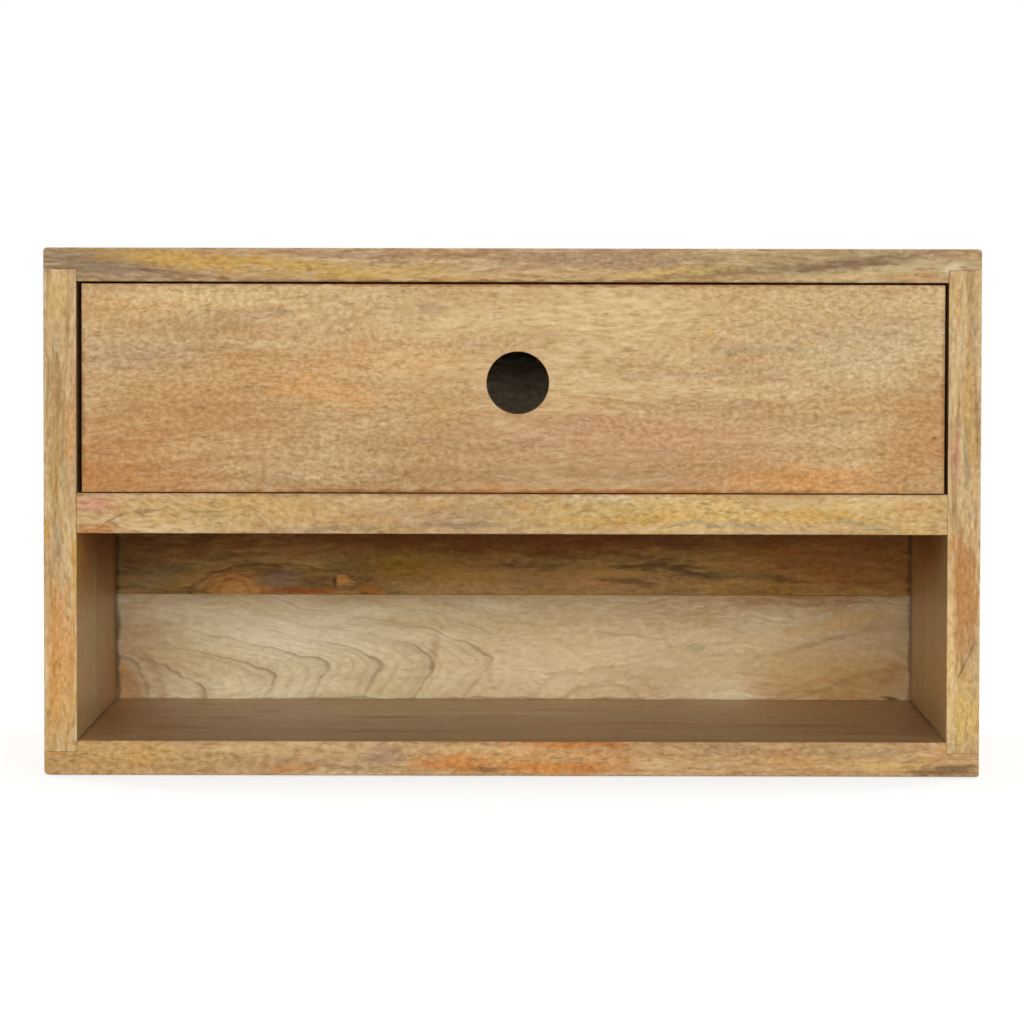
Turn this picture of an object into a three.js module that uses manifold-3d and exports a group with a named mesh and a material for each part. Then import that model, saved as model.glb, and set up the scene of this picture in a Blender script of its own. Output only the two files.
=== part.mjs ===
// Wall-hung nightstand: a solid wood box with one drawer above an open bay.
// Millimetres, +Z up. X runs along the width, and the front faces -Y.
// The origin is the middle of the back face, on the plane of the wall.

import * as THREE from 'three';
import { mergeVertices } from 'three/addons/utils/BufferGeometryUtils.js';
import Module from 'manifold-3d';

// Overall box
const cabinetWidth = 450;
const cabinetDepth = 250;

// Carcass boards, stacked from the bottom up
const bottomThickness = 16.6;
const bayHeight = 99.9;
const shelfThickness = 19.4;
const drawerOpeningHeight = 101.5;
const topThickness = 16.3;
const sideThickness = 15.75;

// Corner joints: the sides' ends stand in rabbets in the top and bottom boards
const topRabbetDepth = 6;
const bottomRabbetDepth = 5.5;
const cornerRadius = 2;
const cornerSegments = 4;

// Back boards, let into a rebate around the rear edges
const backThickness = 10;
const backLap = 8;
const lowerBoardShowing = 55;
const middleBoardHeight = 86;
const boardSeamGap = 0.3;
const backFit = 0.3;

// Glue film between faces that are joined
const jointGap = 0.1;

// How far a cutting shape runs past the face it cuts
const overrun = 5;

// Dowels in the ends of the shelf
const dowelRadius = 4;
const dowelInSide = 9;
const dowelInShelf = 20;
const dowelChamfer = 1;
const dowelFit = 0.25;
const dowelSegments = 12;
const dowelDepthShares = [0.15, 0.5, 0.85];

// Countersunk wood screws through the back boards
const screwHeadRadius = 3;
const screwHeadDepth = 2.2;
const screwShankRadius = 1.6;
const screwLength = 25;
const screwPoint = 4;
const screwSunk = 0.5;
const screwFit = 0.3;
const screwSegments = 12;
const boardScrewShares = [0.22, 0.78];
const shelfScrewShares = [0.3, 0.7];

// Keyhole hangers, let into the upper back board
const hangerHeight = 50;
const hangerWidth = 16;
const hangerThickness = 1.5;
const hangerSunk = 0.4;
const hangerFit = 0.3;
const hangerFromSide = 40;
const hangerFromTop = 14;
const keyholeRadius = 4.75;
const keyslotWidth = 5;
const keyslotRise = 9;
const keyholeDrop = 5;
const keyPocketFloor = 2.1;
const keyPocketMargin = 1.5;
const hangerEndInset = 6;
const hangerScrewHeadRadius = 2.8;
const hangerScrewHeadDepth = 1.8;
const hangerScrewShankRadius = 1.3;
const hangerScrewCover = 1.6;
const hangerScrewPoint = 2;
const roundSegments = 24;

// Running gaps between the drawer and its opening
const frontGapLeft = 2.55;
const frontGapRight = 1.75;
const frontGapAbove = 0.95;
const frontGapBelow = 0.5;
const frontRecess = 0.5;
const slideClearance = 0.3;
const kickerGap = 3.2;
const stopGap = 1;

// Drawer boards
const frontThickness = 16;
const frontLip = 6;
const drawerSideThickness = 11;
const drawerSideInset = 0.5;
const drawerBackThickness = 11;
const drawerBackDrop = 4;
const drawerBottomThickness = 5;
const grooveHeight = 8;
const grooveDepth = 5;
const grooveFit = 0.2;
const grooveEndPlay = 0.5;

// Finger hole in the drawer front, from the middle of the front
const fingerHoleRadius = 15;
const fingerHoleAside = 2.25;
const fingerHoleAbove = 2.8;
const fingerHoleSegments = 48;

// Panel pins that hold the drawer together
const pinHeadRadius = 1.6;
const pinHeadThickness = 1;
const pinShankRadius = 0.8;
const pinLength = 28;
const pinSunk = 0.3;
const pinFit = 0.2;
const pinSegments = 8;
const sidePinShares = [0.28, 0.76];
const bottomPinLength = 18;
const bottomPinShares = [0.15, 0.5, 0.85];

// Heights and widths that follow from the boards
const cabinetHeight = bottomThickness + bayHeight + shelfThickness + drawerOpeningHeight + topThickness;
const undersideZ = -cabinetHeight / 2;
const bayFloorZ = undersideZ + bottomThickness;
const shelfUnderZ = bayFloorZ + bayHeight;
const shelfTopZ = shelfUnderZ + shelfThickness;
const topUnderZ = shelfTopZ + drawerOpeningHeight;
const topFaceZ = topUnderZ + topThickness;
const sideFootZ = bayFloorZ - bottomRabbetDepth;
const sideHeadZ = topUnderZ + topRabbetDepth;
const outerX = cabinetWidth / 2;
const innerX = outerX - sideThickness;
const frontY = -cabinetDepth;
const backFaceY = -backThickness;
const rebateX = innerX + backLap;
const backFootZ = bayFloorZ - backLap;
const backHeadZ = topUnderZ + backLap;
const lowerSeamZ = bayFloorZ + lowerBoardShowing;
const upperSeamZ = lowerSeamZ + middleBoardHeight;
const shelfDepth = cabinetDepth - backThickness - jointGap;

// Drawer sizes that follow from its opening
const drawerFrontWidth = 2 * innerX - frontGapLeft - frontGapRight;
const drawerFrontHeight = drawerOpeningHeight - frontGapAbove - frontGapBelow;
const drawerFrontFootZ = frontGapBelow - slideClearance;
const drawerSideHeight = drawerOpeningHeight - slideClearance - kickerGap;
const drawerDepth = cabinetDepth - backThickness - frontRecess - stopGap;
const drawerSideOuterX = drawerFrontWidth / 2 - drawerSideInset;
const drawerSideInnerX = drawerSideOuterX - drawerSideThickness;
const drawerBottomTopZ = grooveHeight + grooveFit + drawerBottomThickness;
const drawerBackHeadZ = drawerSideHeight - drawerBackDrop;

// Hanger places on the upper back board
const hangerX = innerX - hangerFromSide;
const hangerZ = topUnderZ - hangerFromTop - hangerHeight / 2;
const hangerScrewRise = hangerHeight / 2 - hangerEndInset;
const hangerScrewLength = backThickness - hangerSunk - hangerScrewCover;
const keyPocketFloorY = backFaceY + keyPocketFloor;

const wasm = await Module();
wasm.setup();

// Colours and finishes

function wood(color) {
  return new THREE.MeshStandardMaterial({ color, roughness: 0.45, metalness: 0 });
}

function lacqueredWood() {
  return wood(0xc49d6d);
}

function paleWood() {
  return wood(0xbfa67c);
}

function darkWood() {
  return wood(0x8a6238);
}

function drawerWood() {
  return wood(0xc89f6f);
}

function dowelWood() {
  return wood(0xd8bd92);
}

function zincSteel() {
  return new THREE.MeshStandardMaterial({ color: 0xb9bcc0, roughness: 0.35, metalness: 1 });
}

// Solids, cuts and meshes

// A closed three.js geometry as a solid that can be joined and cut, without its empty triangles.
function solidOf(geometry) {
  const bare = geometry.clone();
  bare.deleteAttribute('normal');
  bare.deleteAttribute('uv');
  const merged = mergeVertices(bare);
  const corners = merged.index.array;
  const kept = [];
  for (let i = 0; i < corners.length; i += 3) {
    const [a, b, c] = [corners[i], corners[i + 1], corners[i + 2]];
    if (a !== b && b !== c && c !== a) {
      kept.push(a, b, c);
    }
  }
  return new wasm.Manifold(new wasm.Mesh({
    numProp: 3,
    vertProperties: merged.attributes.position.array,
    triVerts: Uint32Array.from(kept),
  }));
}

function geometryOf(solid) {
  const mesh = solid.getMesh();
  const geometry = new THREE.BufferGeometry();
  geometry.setAttribute('position', new THREE.BufferAttribute(mesh.vertProperties, 3));
  geometry.setIndex(new THREE.BufferAttribute(mesh.triVerts, 1));
  return geometry;
}

// A named mesh whose own origin is the middle of its solid.
function piece(name, solid, material) {
  const geometry = geometryOf(solid);
  geometry.computeBoundingBox();
  const middle = geometry.boundingBox.getCenter(new THREE.Vector3());
  geometry.translate(-middle.x, -middle.y, -middle.z);
  geometry.computeVertexNormals();
  const mesh = new THREE.Mesh(geometry, material);
  mesh.name = name;
  mesh.position.copy(middle);
  return mesh;
}

function cutAll(solid, cutters) {
  return cutters.reduce((left, cutter) => left.subtract(cutter), solid);
}

// A box between a low and a high value along each axis.
function block([xLow, xHigh], [yLow, yHigh], [zLow, zHigh]) {
  const geometry = new THREE.BoxGeometry(xHigh - xLow, yHigh - yLow, zHigh - zLow);
  geometry.translate((xLow + xHigh) / 2, (yLow + yHigh) / 2, (zLow + zHigh) / 2);
  return solidOf(geometry);
}

// An outline in X and Z, extruded from one depth to another.
function extruded(shape, [yLow, yHigh], segments) {
  const geometry = new THREE.ExtrudeGeometry(shape, {
    depth: yHigh - yLow,
    bevelEnabled: false,
    curveSegments: segments,
  });
  geometry.rotateX(Math.PI / 2);
  geometry.translate(0, yHigh, 0);
  return solidOf(geometry);
}

// A turned shape about a line that starts at a point and runs along a direction.
// Each profile entry is a radius and the distance from the start.
function turned(profile, segments, start, direction) {
  const points = profile.map(([radius, along]) => new THREE.Vector2(radius, along));
  const geometry = new THREE.LatheGeometry(points, segments);
  const turn = new THREE.Quaternion().setFromUnitVectors(new THREE.Vector3(0, 1, 0), direction);
  geometry.applyQuaternion(turn);
  geometry.translate(start.x, start.y, start.z);
  return solidOf(geometry);
}

function at(x, y, z) {
  return new THREE.Vector3(x, y, z);
}

const towardsRight = at(1, 0, 0);
const towardsFront = at(0, -1, 0);
const upwards = at(0, 0, 1);

// Countersunk screws. The start is the middle of the head's flat face.

function screwProfile(screw, clearance, above) {
  return [
    [0, -above],
    [screw.headRadius + clearance, -above],
    [screw.headRadius + clearance, 0],
    [screw.shankRadius + clearance, screw.headDepth + clearance],
    [screw.shankRadius + clearance, screw.length - screw.point + clearance],
    [0, screw.length + clearance],
  ];
}

const backScrew = {
  headRadius: screwHeadRadius,
  headDepth: screwHeadDepth,
  shankRadius: screwShankRadius,
  length: screwLength,
  point: screwPoint,
};

const hangerScrew = {
  headRadius: hangerScrewHeadRadius,
  headDepth: hangerScrewHeadDepth,
  shankRadius: hangerScrewShankRadius,
  length: hangerScrewLength,
  point: hangerScrewPoint,
};

function screwSolid(screw, start) {
  return turned(screwProfile(screw, 0, 0), screwSegments, start, towardsFront);
}

function screwHole(screw, start) {
  return turned(screwProfile(screw, screwFit, overrun), screwSegments, start, towardsFront);
}

// Flat-headed panel pins. The start is the middle of the head's flat face.

function pinProfile(length, clearance, above) {
  return [
    [0, -above],
    [pinHeadRadius + clearance, -above],
    [pinHeadRadius + clearance, pinHeadThickness + clearance],
    [pinShankRadius + clearance, pinHeadThickness + clearance],
    [pinShankRadius + clearance, length + clearance],
    [0, length + clearance],
  ];
}

function pinSolid(length, start, direction) {
  return turned(pinProfile(length, 0, 0), pinSegments, start, direction);
}

function pinHole(length, start, direction) {
  return turned(pinProfile(length, pinFit, overrun), pinSegments, start, direction);
}

// Places that several pieces share

const dowelYs = dowelDepthShares.map((share) => frontY + share * shelfDepth);
const dowelZ = shelfUnderZ + shelfThickness / 2;

const backBoards = [
  { name: 'back_board_lower', foot: backFootZ + backFit, head: lowerSeamZ, material: paleWood },
  { name: 'back_board_middle', foot: lowerSeamZ + boardSeamGap, head: upperSeamZ, material: darkWood },
  {
    name: 'back_board_upper',
    foot: upperSeamZ + boardSeamGap,
    head: backHeadZ - backFit,
    material: lacqueredWood,
  },
];

const endScrewX = innerX + backLap / 2;
const endScrewPlaces = backBoards.flatMap((board) => [-endScrewX, endScrewX].flatMap((x) =>
  boardScrewShares.map((share) => at(x, -screwSunk, board.foot + share * (board.head - board.foot)))));
const shelfScrewPlaces = shelfScrewShares.map((share) =>
  at(-innerX + share * 2 * innerX, -screwSunk, dowelZ));
const backScrewPlaces = [...endScrewPlaces, ...shelfScrewPlaces];

const hangerSides = [
  { side: 'left', x: -hangerX },
  { side: 'right', x: hangerX },
];

function hangerScrewPlaces(x) {
  return [-hangerScrewRise, hangerScrewRise].map((rise) => at(x, -hangerSunk, hangerZ + rise));
}

function backScrewHoles() {
  return backScrewPlaces.map((place) => screwHole(backScrew, place));
}

// Carcass

// Front outline of the top board, with a rabbet for each side's upper end.
function topPanel() {
  const shoulderX = innerX - jointGap;
  const rim = new THREE.Shape();
  rim.moveTo(-outerX, sideHeadZ);
  rim.lineTo(-outerX, topFaceZ - cornerRadius);
  rim.absarc(-outerX + cornerRadius, topFaceZ - cornerRadius, cornerRadius, Math.PI, Math.PI / 2, true);
  rim.lineTo(outerX - cornerRadius, topFaceZ);
  rim.absarc(outerX - cornerRadius, topFaceZ - cornerRadius, cornerRadius, Math.PI / 2, 0, true);
  rim.lineTo(outerX, sideHeadZ);
  rim.lineTo(shoulderX, sideHeadZ);
  rim.lineTo(shoulderX, topUnderZ);
  rim.lineTo(-shoulderX, topUnderZ);
  rim.lineTo(-shoulderX, sideHeadZ);
  rim.closePath();
  const rebate = block([-rebateX, rebateX], [backFaceY, overrun], [topUnderZ - overrun, backHeadZ]);
  const board = extruded(rim, [frontY, 0], cornerSegments);
  return piece('top_panel', board.subtract(rebate), lacqueredWood());
}

// Front outline of the bottom board, with a rabbet for each side's lower end.
function bottomPanel() {
  const shoulderX = innerX - jointGap;
  const rim = new THREE.Shape();
  rim.moveTo(-outerX, sideFootZ);
  rim.lineTo(-shoulderX, sideFootZ);
  rim.lineTo(-shoulderX, bayFloorZ);
  rim.lineTo(shoulderX, bayFloorZ);
  rim.lineTo(shoulderX, sideFootZ);
  rim.lineTo(outerX, sideFootZ);
  rim.lineTo(outerX, undersideZ + cornerRadius);
  rim.absarc(outerX - cornerRadius, undersideZ + cornerRadius, cornerRadius, 0, -Math.PI / 2, true);
  rim.lineTo(-outerX + cornerRadius, undersideZ);
  rim.absarc(-outerX + cornerRadius, undersideZ + cornerRadius, cornerRadius, -Math.PI / 2, -Math.PI, true);
  rim.closePath();
  const rebate = block([-rebateX, rebateX], [backFaceY, overrun], [backFootZ, bayFloorZ + overrun]);
  const board = extruded(rim, [frontY, 0], cornerSegments);
  return piece('bottom_panel', board.subtract(rebate), lacqueredWood());
}

// A side board. The hand is -1 on the left and 1 on the right.
function sidePanel(name, hand) {
  const across = [hand * innerX, hand * outerX].sort((a, b) => a - b);
  const lapAcross = [hand * (innerX - overrun), hand * rebateX].sort((a, b) => a - b);
  const board = block(across, [frontY, 0], [sideFootZ + jointGap, sideHeadZ - jointGap]);
  const rebate = block(lapAcross, [backFaceY, overrun], [sideFootZ - overrun, sideHeadZ + overrun]);
  const bores = dowelYs.map((y) => dowelBore(hand, y));
  return piece(name, cutAll(board, [rebate, ...bores, ...backScrewHoles()]), lacqueredWood());
}

function middleShelf() {
  const halfLength = innerX - jointGap;
  const board = block([-halfLength, halfLength], [frontY, frontY + shelfDepth], [shelfUnderZ, shelfTopZ]);
  const bores = [-1, 1].flatMap((hand) => dowelYs.map((y) => dowelBore(hand, y)));
  return piece('middle_shelf', cutAll(board, [...bores, ...backScrewHoles()]), lacqueredWood());
}

// Shelf dowels, half in the side board and half in the shelf's end

function dowelProfile(clearance) {
  const length = dowelInShelf + dowelInSide;
  const radius = dowelRadius + clearance;
  return [
    [0, -clearance],
    [radius - dowelChamfer, -clearance],
    [radius, dowelChamfer - clearance],
    [radius, length - dowelChamfer + clearance],
    [radius - dowelChamfer, length + clearance],
    [0, length + clearance],
  ];
}

function dowelShape(hand, y, clearance) {
  const direction = at(hand, 0, 0);
  const start = at(hand * (innerX - dowelInShelf), y, dowelZ);
  return turned(dowelProfile(clearance), dowelSegments, start, direction);
}

function dowelBore(hand, y) {
  return dowelShape(hand, y, dowelFit);
}

function shelfDowels() {
  return [['left', -1], ['right', 1]].flatMap(([side, hand]) => dowelYs.map((y, i) =>
    piece(`shelf_dowel_${side}_${i + 1}`, dowelShape(hand, y, 0), dowelWood())));
}

// Back boards and their screws

function backBoard({ name, foot, head, material }) {
  const halfWidth = rebateX - backFit;
  const board = block([-halfWidth, halfWidth], [backFaceY + jointGap, 0], [foot, head]);
  const pockets = hangerSides.flatMap(({ x }) => [hangerSeat(x), keyPocket(x)]);
  const hangerHoles = hangerSides.flatMap(({ x }) =>
    hangerScrewPlaces(x).map((place) => screwHole(hangerScrew, place)));
  return piece(name, cutAll(board, [...backScrewHoles(), ...pockets, ...hangerHoles]), material());
}

function backScrews() {
  return backScrewPlaces.map((place, i) =>
    piece(`back_screw_${i + 1}`, screwSolid(backScrew, place), zincSteel()));
}

// Keyhole hangers: a plate with round ends, a round hole and a slot above it

function roundEnded(centreX, centreZ, halfWidth, halfHeight) {
  const rise = halfHeight - halfWidth;
  const outline = new THREE.Shape();
  outline.absarc(centreX, centreZ + rise, halfWidth, 0, Math.PI, false);
  outline.absarc(centreX, centreZ - rise, halfWidth, Math.PI, 2 * Math.PI, false);
  outline.closePath();
  return outline;
}

function hangerSeat(x) {
  const outline = roundEnded(x, hangerZ, hangerWidth / 2 + hangerFit, hangerHeight / 2 + hangerFit);
  return extruded(outline, [-hangerSunk - hangerThickness - hangerFit, overrun], roundSegments / 2);
}

// Room behind the plate for the head of the wall screw.
function keyPocket(x) {
  const halfWidth = keyholeRadius + keyPocketMargin;
  const halfHeight = halfWidth + keyslotRise / 2;
  const outline = roundEnded(x, hangerZ - keyholeDrop + keyslotRise / 2, halfWidth, halfHeight);
  return extruded(outline, [keyPocketFloorY, overrun], roundSegments / 2);
}

function hangerPlate(side, x) {
  const plateSpan = [-hangerSunk - hangerThickness, -hangerSunk];
  const cutSpan = [plateSpan[0] - overrun, plateSpan[1] + overrun];
  const outline = roundEnded(x, hangerZ, hangerWidth / 2, hangerHeight / 2);
  const plate = extruded(outline, plateSpan, roundSegments / 2);
  const hole = new THREE.Shape();
  hole.absarc(x, hangerZ - keyholeDrop, keyholeRadius, 0, 2 * Math.PI, false);
  const slotHalfHeight = (keyslotRise + keyslotWidth) / 2;
  const slot = roundEnded(x, hangerZ - keyholeDrop + keyslotRise / 2, keyslotWidth / 2, slotHalfHeight);
  const cutters = [
    extruded(hole, cutSpan, roundSegments),
    extruded(slot, cutSpan, roundSegments / 2),
    ...hangerScrewPlaces(x).map((place) => screwHole(hangerScrew, place)),
  ];
  return piece(`hanger_plate_${side}`, cutAll(plate, cutters), zincSteel());
}

function hangers() {
  return hangerSides.flatMap(({ side, x }) => [
    hangerPlate(side, x),
    ...hangerScrewPlaces(x).map((place, i) =>
      piece(`hanger_screw_${side}_${i + 1}`, screwSolid(hangerScrew, place), zincSteel())),
  ]);
}

// Drawer, in its own frame: X from the middle of its front, Y back from the face, Z up from its runners

const rabbetX = drawerSideInnerX - jointGap;
const sideStartY = frontLip + jointGap;
const frontPinY = (frontLip + frontThickness) / 2;
const backPinY = drawerDepth - drawerBackThickness / 2;

function pinPlaces(hand) {
  const x = hand * (drawerSideOuterX - pinSunk);
  return [frontPinY, backPinY].flatMap((y) =>
    sidePinShares.map((share) => at(x, y, share * drawerSideHeight)));
}

function pinHoles(hand) {
  return pinPlaces(hand).map((place) => pinHole(pinLength, place, at(-hand, 0, 0)));
}

const bottomPinPlaces = bottomPinShares.map((share) =>
  at((2 * share - 1) * drawerSideInnerX, backPinY, grooveHeight + grooveFit + pinSunk));

function bottomPinHoles() {
  return bottomPinPlaces.map((place) => pinHole(bottomPinLength, place, upwards));
}

function groove([xLow, xHigh], [yLow, yHigh]) {
  const height = drawerBottomThickness + 2 * grooveFit;
  return block([xLow, xHigh], [yLow, yHigh], [grooveHeight, grooveHeight + height]);
}

function fingerHole() {
  const centreZ = drawerFrontFootZ + drawerFrontHeight / 2 + fingerHoleAbove;
  const hole = new THREE.Shape();
  hole.absarc(fingerHoleAside, centreZ, fingerHoleRadius, 0, 2 * Math.PI, false);
  return extruded(hole, [-overrun, frontThickness + overrun], fingerHoleSegments);
}

function drawerFront() {
  const halfWidth = drawerFrontWidth / 2;
  const heights = [drawerFrontFootZ, drawerFrontFootZ + drawerFrontHeight];
  const cutHeights = [heights[0] - overrun, heights[1] + overrun];
  const board = block([-halfWidth, halfWidth], [0, frontThickness], heights);
  const rabbetDepths = [frontLip, frontThickness + overrun];
  const cutters = [
    block([-halfWidth - overrun, -rabbetX], rabbetDepths, cutHeights),
    block([rabbetX, halfWidth + overrun], rabbetDepths, cutHeights),
    groove([-halfWidth, halfWidth], [frontThickness - grooveDepth, frontThickness + overrun]),
    fingerHole(),
    ...pinHoles(-1),
    ...pinHoles(1),
  ];
  return piece('drawer_front', cutAll(board, cutters), drawerWood());
}

function drawerSide(name, hand) {
  const across = [hand * drawerSideInnerX, hand * drawerSideOuterX].sort((a, b) => a - b);
  const grooveAcross = [hand * (drawerSideInnerX - overrun), hand * (drawerSideInnerX + grooveDepth)];
  const board = block(across, [sideStartY, drawerDepth], [0, drawerSideHeight]);
  const cutters = [
    groove(grooveAcross.sort((a, b) => a - b), [sideStartY - overrun, drawerDepth + overrun]),
    ...pinHoles(hand),
  ];
  return piece(name, cutAll(board, cutters), drawerWood());
}

function drawerBack() {
  const halfWidth = drawerSideInnerX - jointGap;
  const depths = [drawerDepth - drawerBackThickness, drawerDepth];
  const board = block([-halfWidth, halfWidth], depths, [drawerBottomTopZ + jointGap, drawerBackHeadZ]);
  const bores = [...pinHoles(-1), ...pinHoles(1), ...bottomPinHoles()];
  return piece('drawer_back', cutAll(board, bores), drawerWood());
}

function drawerBottom() {
  const halfWidth = drawerSideInnerX + grooveDepth - grooveEndPlay;
  const startY = frontThickness - grooveDepth + grooveEndPlay;
  const heights = [grooveHeight + grooveFit, drawerBottomTopZ];
  const board = block([-halfWidth, halfWidth], [startY, drawerDepth], heights);
  return piece('drawer_bottom', cutAll(board, bottomPinHoles()), paleWood());
}

function drawerPins() {
  const sidePins = [['left', -1], ['right', 1]].flatMap(([side, hand]) => pinPlaces(hand).map((place, i) =>
    piece(`drawer_pin_${side}_${i + 1}`, pinSolid(pinLength, place, at(-hand, 0, 0)), zincSteel())));
  const bottomPins = bottomPinPlaces.map((place, i) =>
    piece(`drawer_bottom_pin_${i + 1}`, pinSolid(bottomPinLength, place, upwards), zincSteel()));
  return [...sidePins, ...bottomPins];
}

// The whole cabinet

const carcass = new THREE.Group();
carcass.add(
  topPanel(),
  bottomPanel(),
  sidePanel('side_panel_left', -1),
  sidePanel('side_panel_right', 1),
  middleShelf(),
  ...shelfDowels(),
  ...backBoards.map(backBoard),
  ...backScrews(),
  ...hangers(),
);

const drawer = new THREE.Group();
const drawerMiddleX = (frontGapLeft - frontGapRight) / 2;
drawer.position.set(drawerMiddleX, frontY + frontRecess, shelfTopZ + slideClearance);
drawer.add(
  drawerFront(),
  drawerSide('drawer_side_left', -1),
  drawerSide('drawer_side_right', 1),
  drawerBack(),
  drawerBottom(),
  ...drawerPins(),
);

const nightstand = new THREE.Group();
nightstand.add(carcass, drawer);

export default nightstand;
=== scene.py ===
"""Wall-hung nightstand of lacquered wood: one drawer above an open bay.

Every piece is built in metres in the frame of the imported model. X runs along the width, the front faces -Y,
Z is up, and the origin is the middle of the back face.
"""

import math
from dataclasses import dataclass, replace

import bmesh
import bpy
from bpy.props import FloatProperty, FloatVectorProperty, IntProperty, PointerProperty
from mathutils import Matrix, Vector


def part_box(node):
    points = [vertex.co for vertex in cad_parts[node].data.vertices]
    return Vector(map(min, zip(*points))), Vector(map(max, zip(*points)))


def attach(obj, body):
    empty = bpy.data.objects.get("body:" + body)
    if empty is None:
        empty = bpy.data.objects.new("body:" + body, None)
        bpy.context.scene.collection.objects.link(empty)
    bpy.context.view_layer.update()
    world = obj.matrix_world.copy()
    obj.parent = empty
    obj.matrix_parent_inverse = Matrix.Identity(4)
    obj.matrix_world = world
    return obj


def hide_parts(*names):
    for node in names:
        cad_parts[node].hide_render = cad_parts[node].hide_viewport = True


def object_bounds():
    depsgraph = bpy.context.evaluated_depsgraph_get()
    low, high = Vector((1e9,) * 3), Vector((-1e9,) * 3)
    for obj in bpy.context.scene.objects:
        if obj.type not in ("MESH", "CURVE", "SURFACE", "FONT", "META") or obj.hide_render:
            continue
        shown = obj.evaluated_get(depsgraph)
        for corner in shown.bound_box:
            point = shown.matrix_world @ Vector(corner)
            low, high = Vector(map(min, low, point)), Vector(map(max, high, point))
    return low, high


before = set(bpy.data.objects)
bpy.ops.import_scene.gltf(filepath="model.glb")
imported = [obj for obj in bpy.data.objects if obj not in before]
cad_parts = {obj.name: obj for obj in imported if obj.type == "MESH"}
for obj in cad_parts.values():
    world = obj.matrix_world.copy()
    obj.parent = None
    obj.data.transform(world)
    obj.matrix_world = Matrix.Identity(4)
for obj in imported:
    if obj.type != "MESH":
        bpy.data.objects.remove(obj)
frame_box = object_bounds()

bl_info = {
    "name": "Floating Nightstand",
    "version": (1, 0, 0),
    "blender": (4, 5, 0),
    "location": "View3D > Sidebar > Nightstand",
    "description": "Builds a wall-hung nightstand with a drawer, its wood finishes and a small studio",
    "category": "Add Mesh",
}

MM = 0.001


def srgb(red, green, blue):
    """A display colour from 0 to 255 as the linear red, green, blue and alpha that a shader takes."""
    def linear(level):
        share = level / 255
        return share / 12.92 if share <= 0.04045 else ((share + 0.055) / 1.055) ** 2.4
    return (linear(red), linear(green), linear(blue), 1.0)


# Places and fits that several pieces share

JOINT_GAP = 0.1 * MM
BACK_FIT = 0.3 * MM
OVERRUN = 5 * MM
PLANE_TOLERANCE = 0.01 * MM
MERGE_DISTANCE = 0.001 * MM
SHARP_ANGLE = math.radians(25)

cabinet_low, cabinet_high = frame_box
FRONT_Y = cabinet_low.y
OUTER_X = cabinet_high.x
TOP_UNDER_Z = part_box("top_panel")[0].z
BAY_FLOOR_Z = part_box("bottom_panel")[1].z
SIDE_FOOT_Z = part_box("side_panel_left")[0].z - JOINT_GAP
SIDE_HEAD_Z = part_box("side_panel_left")[1].z + JOINT_GAP
INNER_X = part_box("side_panel_right")[0].x
REBATE_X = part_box("back_board_lower")[1].x + BACK_FIT
REBATE_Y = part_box("back_board_lower")[0].y - JOINT_GAP
REBATE_FOOT_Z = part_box("back_board_lower")[0].z - BACK_FIT
REBATE_HEAD_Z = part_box("back_board_upper")[1].z + BACK_FIT


# Settings that a user would change


class NightstandEdges(bpy.types.PropertyGroup):
    eased: FloatProperty(
        name="Eased Edge", description="Rounding of the edges that are sanded by hand",
        default=0.8 * MM, min=0.1 * MM, max=3 * MM, unit="LENGTH")
    seam: FloatProperty(
        name="Seam Edge", description="Rounding of the edges where two boards are glued",
        default=0.22 * MM, min=0.05 * MM, max=1 * MM, unit="LENGTH")
    corner_top: FloatProperty(
        name="Upper Corner", description="Rounding of the two upper corners of the cabinet",
        default=2 * MM, min=0.1 * MM, max=5 * MM, unit="LENGTH")
    corner_low_left: FloatProperty(
        name="Lower Left Corner", description="Rounding of the lower left corner of the cabinet",
        default=2.5 * MM, min=0.1 * MM, max=5 * MM, unit="LENGTH")
    corner_low_right: FloatProperty(
        name="Lower Right Corner", description="Rounding of the lower right corner of the cabinet",
        default=1.2 * MM, min=0.1 * MM, max=5 * MM, unit="LENGTH")
    finger_hole: FloatProperty(
        name="Finger Hole Edge", description="Rounding of the rim of the finger hole",
        default=0.8 * MM, min=0.1 * MM, max=3 * MM, unit="LENGTH")
    segments: IntProperty(
        name="Segments", description="Steps in each rounded edge", default=4, min=1, max=8)


class NightstandWood(bpy.types.PropertyGroup):
    sheen: FloatProperty(
        name="Lacquer Roughness", description="Roughness of the lacquered wood",
        default=0.36, min=0, max=1, subtype="FACTOR")
    lacquer: FloatProperty(
        name="Lacquer Coat", description="Weight of the clear coat over the wood",
        default=0.12, min=0, max=1, subtype="FACTOR")
    relief: FloatProperty(
        name="Grain Relief", description="Depth of the pores and fibres under the lacquer",
        default=0.06 * MM, min=0, max=1 * MM, unit="LENGTH")


class NightstandSteel(bpy.types.PropertyGroup):
    zinc: FloatVectorProperty(
        name="Zinc", description="Colour of the zinc plating",
        default=srgb(205, 207, 210)[:3], min=0, max=1, subtype="COLOR")
    recess: FloatProperty(
        name="Cross Recess", description="Width of each arm of the recess in a screw's head",
        default=0.7 * MM, min=0.2 * MM, max=2 * MM, unit="LENGTH")


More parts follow.
